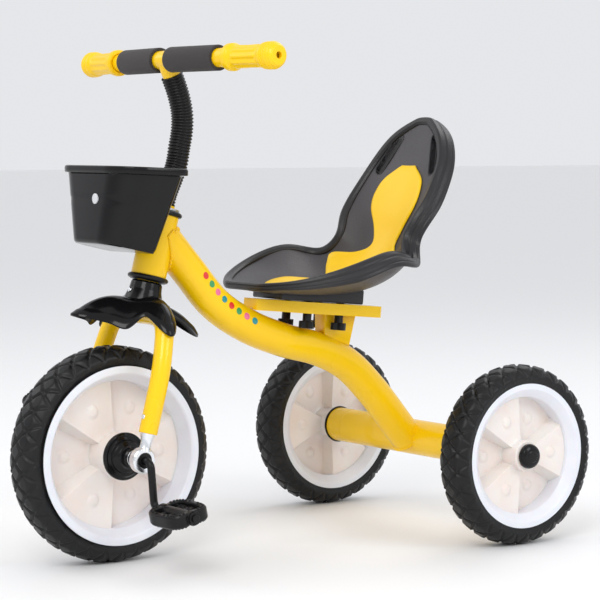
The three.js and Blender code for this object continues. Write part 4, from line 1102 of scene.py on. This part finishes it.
def makeBasket():
    rim = {
        "half": 76, "front": -26.5, "back": 60, "zFront": 337, "zBack": 333, "corner": 38, "backCorner": 10}
    floor = {
        "half": 52, "front": -30.5, "back": 33, "zFront": 248, "zBack": 234, "corner": 32, "backCorner": 9}
    size = {"wall": 2.2, "crease": 1.3, "creaseAt": 0.56, "creaseWidth": 0.018}

    def ringAt(share, inset, lift):
        # share 0 is the floor's edge and 1 the rim's
        edge = {key: floor[key] + (rim[key] - floor[key]) * share for key in rim}
        flat = boxRing(
            edge["half"] - inset, edge["front"] + inset, edge["back"] - inset, max(edge["corner"] - inset, 1),
            max(edge["backCorner"] - inset, 1), 12)
        part = (flat[:, 1] - edge["front"]) / (edge["back"] - edge["front"])
        z = edge["zFront"] + (edge["zBack"] - edge["zFront"]) * part + lift
        return fromHub(np.column_stack([flat, z]))

    wall = size["wall"]
    rings = [ringAt(0, 5, -0.4), ringAt(0, 1.6, 0), ringAt(0, 0.2, 1.6)]
    for share in np.linspace(0.05, 0.9, 22):
        crease = size["crease"] * math.exp(-((share - size["creaseAt"]) / size["creaseWidth"]) ** 2)
        rings.append(ringAt(share, crease, 0))
    lip = ((0, -8.5), (-3.2, -8.2), (-4, -7.2), (-4.1, -3), (-3.6, -1), (-2.2, 0), (0.6, 0), (wall, -1))
    rings += [ringAt(1, inset, lift) for inset, lift in lip]
    for share in np.linspace(0.9, 0.05, 12):
        rings.append(ringAt(share, wall, 0))
    rings += [ringAt(0, wall + 1, wall + 0.4), ringAt(0, 7, wall)]
    makePiece("basket", filledRings(rings), "blackGloss", "steering", ["basket"])

    # a plain round button on the front wall
    badge = {"radius": 6, "height": 299, "across": 17, "depth": 1.5, "sides": 32}

    def onWall(along, height, out):
        # a place on the wall at a distance round it from its middle
        share = (height - floor["zFront"]) / (rim["zFront"] - floor["zFront"])
        ring = ringAt(share, 0, 0)
        front = ring[np.argsort(np.arctan2(ring[:, 0], -(ring[:, 1] - frontHub[1] - 20)))]
        front = front[front[:, 1] < frontHub[1] + 10]
        lengths = lengthsOf(front)
        middle = np.interp(0, front[:, 0], lengths)
        point = atLengths(front, [middle + along])[0]
        ahead = atLengths(front, [middle + along + 0.5])[0] - atLengths(front, [middle + along - 0.5])[0]
        outward = np.array((ahead[1], -ahead[0], 0)) / np.hypot(ahead[0], ahead[1])
        return point + outward * out

    turns = np.linspace(0, 2 * math.pi, badge["sides"], endpoint=False)
    button = np.column_stack([np.cos(turns), np.sin(turns)]) * badge["radius"]
    rings = [
        np.array([onWall(badge["across"] + x * share, badge["height"] + z * share, out) for x, z in button])
        for share, out in ((1, -1), (1, badge["depth"] - 0.4), (0.9, badge["depth"]), (0.4, badge["depth"]))]
    makePiece("badge", filledRings(rings), "badge", "steering")


makeBasket()
print("stage: basket made")


# Seat

def makeSeat():
    # the middle line (y, z), then the edge (x, y, z), from the nose to the top of the back
    stations = np.array((
        (-10, 19, 38, -9, 19), (22, 13, 82, 22, 24), (62, 8.5, 112, 79, 42), (105, 6.5, 110, 130, 57),
        (145, 10, 101, 160, 51), (178, 22, 84, 173, 50), (199, 42, 66, 185, 71), (213, 69, 73, 194, 94),
        (224, 103, 77, 211, 117), (236, 133, 73, 228, 142), (248, 160, 66, 244, 168),
        (261, 191, 46, 258, 198), (272, 218, 13, 271, 217)), float)
    middles = np.column_stack([np.zeros(len(stations)), stations[:, :2]])
    edges = stations[:, 2:]

    def surface(us, vs):
        # us is a column of places along the seat; vs has a row of places across for each
        us = np.asarray(us, float)
        vs = np.broadcast_to(vs, (len(us), np.shape(vs)[-1]))
        m = np.array([curvePoint(middles, u) for u in us])[:, None]
        e = np.array([curvePoint(edges, u) for u in us])[:, None]
        rise = np.abs(vs)[..., None] ** 2.3
        points = m + (e - m) * rise
        points[..., 0] = e[..., 0] * vs
        return points

    def normalsOf(grid):
        along = np.gradient(grid, axis=0)
        across = np.gradient(grid, axis=1)
        normal = np.cross(across, along)
        return normal / np.maximum(np.linalg.norm(normal, axis=2), 1e-9)[..., None]

    rows, columns = 96, 61
    us = np.linspace(0, 1, rows)
    vs = np.linspace(-1, 1, columns)
    top = surface(us, vs)
    normals = normalsOf(top)
    if normals[rows // 3, columns // 2][2] < 0:
        normals = -normals
    depth = 6 + 2 * (1 - np.abs(vs)) ** 0.5
    bottom = top - normals * np.broadcast_to(depth, (rows, columns))[..., None]
    shell = plateOf(top, bottom)

    # the plinth that stands on the rail
    size = {"half": 31, "gap": 1, "from": 24, "to": 150, "frontTall": 10, "rearTall": 19}
    half, gap, near, far = size["half"], size["gap"], size["from"], size["to"]
    ends = ((half, 1.5), (half - 0.5, 0.4), (half - 1.5, 0))  # rounded ends: a place and its inset
    rings = []
    for x, inset in [(-x, inset) for x, inset in ends] + list(reversed(ends)):
        outline = filleted([
            (near + inset, gap + inset), (far - inset, gap + inset), (far - inset, size["rearTall"]),
            (near + inset, size["frontTall"])], 2, 3)
        rings.append(fromRail(np.column_stack([np.full(len(outline), x), outline])) - railStart)
    plinth = filledRings(rings)

    slot = {"from": 0.8, "to": 0.915, "across": 0.76, "half": 6, "cut": 24}

    def slotCutter(sign):
        # the cutter for one slot in the back, and the dark collar that lines it
        at = np.array([surface([u], [sign * slot["across"]])[0, 0] for u in (slot["from"], slot["to"])])
        ahead = at[1] - at[0]
        length = np.linalg.norm(ahead)
        ahead = ahead / length
        patch = surface([0.85, 0.86, 0.87], [sign * 0.7, sign * 0.74, sign * 0.78])
        up = normalsOf(patch)[1, 1]
        up = up if up[1] < 0 else -up
        out = np.cross(ahead, up)
        half, long = slot["half"], length / 2 + slot["half"]
        flat = boxRing(half, -long, long, half - 0.1, half - 0.1, 8)
        middle = at.mean(0)

        def ringOf(grow, lift):
            wider = flat * (1 + grow / half, 1 + grow / long)
            return middle + np.outer(wider[:, 0], out) + np.outer(wider[:, 1], ahead) + lift * up

        cutter = filledRings([ringOf(0, -slot["cut"]), ringOf(0, slot["cut"])])
        rings = [ringOf(grow, lift) for grow, lift in (
            (0, 0), (0.8, 0.9), (1.6, 0.4), (2, -2), (2, -17), (1.4, -18), (0.4, -18), (0, -17))]
        collar = np.concatenate(rings), gridFaces(len(rings), len(flat), True, True)
        return cutter, collar

    slotShapes = [slotCutter(sign) for sign in (1, -1)]
    cutters = [shapes[0] for shapes in slotShapes]
    collars = joined(*[shapes[1] for shapes in slotShapes])
    makePiece("seatSlotCollars", (fromSeat(collars[0]), collars[1]), "seatEdge", "seat")
    shape = (fromSeat(shell[0]), shell[1])
    mesh = cutMesh("seatShell", shape, *[(fromSeat(points), faces) for points, faces in cutters])
    place("seatShell", mesh, "seatGrey", "seat", ["seat_shell"])
    makePiece("seatPlinth", (fromSeat(plinth[0]), plinth[1]), "seatEdge", "seat")

    # the thick dark band round the edge
    def around(grid):
        return np.concatenate([grid[0, :-1], grid[:-1, -1], grid[-1, :0:-1], grid[:0:-1, 0]])

    def smoothed(line, times):
        for _ in range(times):
            line = (np.roll(line, 1, 0) + 2 * line + np.roll(line, -1, 0)) / 4
        return line

    def unit(line):
        return line / np.linalg.norm(line, axis=1)[:, None]

    loop = smoothed(around(top), 16)
    up = unit(smoothed(around(normals), 70))
    out = unit(np.cross(np.roll(loop, -1, 0) - np.roll(loop, 1, 0), up))
    out = unit(smoothed(out, 8))
    inward = top[rows // 2, columns // 2] - loop[columns + rows // 2]
    if out[columns + rows // 2] @ inward > 0:
        out = -out
    section = filleted([
        (-7.5, -1.5), (-6.6, 1.4), (-3.5, 2.8), (1.5, 2.6), (3.6, 0.4), (4.2, -4.5), (3.2, -6.8, 1),
        (4.4, -9, 1.5), (4.2, -14), (3.2, -15.4, 1), (3.6, -17, 1), (2.6, -20.5), (0.2, -21.5), (-3, -18),
        (-4, -6)], 1.8, 4)
    # the band is shallower at the nose, where it passes over the rail and the main tube
    depthShare = 0.42 + 0.58 * np.clip((loop[:, 1] - 4) / 70, 0, 1)[:, None]
    band = banded(loop, out, up * depthShare, section)
    makePiece("seatEdgeBand", (fromSeat(band[0]), band[1]), "seatEdge", "seat")

    # the yellow panel
    panel = {"from": 0.1, "to": 0.83, "lift": 0.8, "edgeRise": 1.5, "crown": 1.9}
    shares = [(i, s, 0) for i, s in enumerate((
        0.2, 0.46, 0.55, 0.5, 0.44, 0.75, 0.9, 0.6, 0.34, 0.4, 0.56, 0.6, 0.52, 0.2))]
    ts = np.linspace(0, 1, 90)
    widths = np.array([curvePoint(shares, t, False)[1] for t in ts])
    js = np.linspace(-1, 1, 41)
    us = panel["from"] + (panel["to"] - panel["from"]) * ts
    grid = surface(us, widths[:, None] * js[None])
    lifted = normalsOf(grid)
    if lifted[30, 20][2] < 0:
        lifted = -lifted
    edge = np.minimum(np.minimum((1 - np.abs(js))[None] * 12, (ts * 40)[:, None]), ((1 - ts) * 40)[:, None])
    crown = panel["edgeRise"] + panel["crown"] * np.sqrt(np.clip(edge, 0, 1))
    insert = plateOf(grid + lifted * crown[..., None], grid + lifted * panel["lift"])
    makePiece("seatPanel", (fromSeat(insert[0]), insert[1]), "yellowPlastic", "seat", ["seat_insert"])


makeSeat()
print("stage: seat made")


# A row of printed dots on the main tube

def makeDecals():
    size = {"tubeRadius": 21, "dot": 4.6, "start": 76, "step": 13.5, "up": 6, "sides": 24}
    dots = ("red", "green", "pink", "teal") * 2  # equal round dots in one evenly spaced row
    layers = ((0.02, 0.24), (0.5, 0.24), (0.93, 0.22), (1, -0.4))  # share of the radius, rise over the paint
    lengths = lengthsOf(mainPath)

    def onTube(s, around, rise, sign):
        # a place on the tube's skin, from the distance along it and the distance up from its side
        turn = around / size["tubeRadius"]
        middle = np.array([np.interp(s, lengths, mainPath[:, k]) for k in range(3)])
        at = int(np.clip(np.searchsorted(lengths, s), 1, len(mainPath) - 1))
        tangent = mainPath[at] - mainPath[at - 1]
        tangent = tangent / np.linalg.norm(tangent)
        up = np.cross((sign, 0, 0), tangent)
        up = up if up[2] > 0 else -up
        outward = np.array((sign, 0, 0)) * math.cos(turn) + up * math.sin(turn)
        return middle + outward * (size["tubeRadius"] + rise)

    byFinish = {}
    turns = np.linspace(0, 2 * math.pi, size["sides"], endpoint=False)
    for i, finish in enumerate(dots):
        along = size["start"] + size["step"] * i
        for sign in (1, -1):
            rings = [
                np.array([onTube(
                    along + size["dot"] * r * math.cos(angle), size["dot"] * r * math.sin(angle) + size["up"],
                    rise, sign) for angle in turns])
                for r, rise in layers]
            byFinish.setdefault(finish, []).append(filledRings(rings))
    for finish, shapes in byFinish.items():
        makePiece(f"decal.{finish}", joined(*shapes), finish, "frame")


makeDecals()

# The CAD pieces that stay, mostly out of sight
kept = {
    "zinc": ("rear_axle", "axle_nut_left", "axle_nut_right", "lock_washer"),
    "yellowPaint": ("steerer_tube",),
    "blackSatin": (
        "fork_bush_left", "fork_bush_right", "basket_bracket", "pedal_clip_left", "pedal_clip_right"),
}
for finish, nodes in kept.items():
    for node in nodes:
        frame["nodes"][node].material_slots[0].material = finishes[finish]
print("stage: decals and kept pieces done")


# Floor, light and camera

def makeStudio():
    floorFinish = Finish("paleFloor", (0.90, 0.90, 0.90), 0.6)
    floorFinish.shade("Roughness", 0.55 + floorFinish.noise(3, 2) * 0.1)
    mesh = bpy.data.meshes.new("floor")
    reach = 30
    corners = [(x * reach, y * reach, 0) for x, y in ((-1, -1), (1, -1), (1, 1), (-1, 1))]
    mesh.from_pydata(corners, [], [(0, 1, 2, 3)])
    mesh.materials.append(floorFinish.material)
    floor = looseObject("floor", mesh)

    world = bpy.data.worlds.new("studio")
    bpy.context.scene.world = world
    world.use_nodes = True
    background = world.node_tree.nodes["Background"]
    background.inputs["Color"].default_value = (0.96, 0.97, 1.0, 1)
    background.inputs["Strength"].default_value = 0.82
    lamps = (  # place, size, power, colour
        ((1.6, -1.9, 2.2), 1.4, 34, (1.0, 0.99, 0.97)),
        ((2.6, 0.9, 1.6), 1.2, 16, (0.97, 0.98, 1.0)),
        ((-1.8, -1.4, 1.9), 1.4, 9, (1.0, 1.0, 1.0)),
        ((-0.6, 1.9, 2.4), 1.4, 12, (1.0, 1.0, 1.0)))
    for i, (spot, size, power, colour) in enumerate(lamps):
        light = bpy.data.lights.new(f"softbox{i}", "AREA")
        light.size = size
        light.energy = power
        light.color = colour
        lamp = bpy.data.objects.new(f"softbox{i}", light)
        bpy.context.scene.collection.objects.link(lamp)
        lamp.location = spot
        lamp.rotation_euler = (Vector(spot) - Vector((0, 0, 0.25))).to_track_quat("Z", "Y").to_euler()

    view = {"azimuth": 53.99, "elevation": 4.117, "lens": 133.1, "place": (2.2165, -1.5582, 0.4927)}
    azimuth, elevation = math.radians(view["azimuth"]), math.radians(view["elevation"])
    level = math.cos(elevation)
    back = Vector((math.sin(azimuth) * level, -math.cos(azimuth) * level, math.sin(elevation)))
    lens = bpy.data.cameras.new("camera")
    lens.lens = view["lens"]
    lens.sensor_width = 36
    camera = bpy.data.objects.new("camera", lens)
    bpy.context.scene.collection.objects.link(camera)
    camera.location = view["place"]
    camera.rotation_euler = back.to_track_quat("Z", "Y").to_euler()
    bpy.context.scene.camera = camera
    bpy.context.scene.view_settings.view_transform = "Standard"


makeStudio()
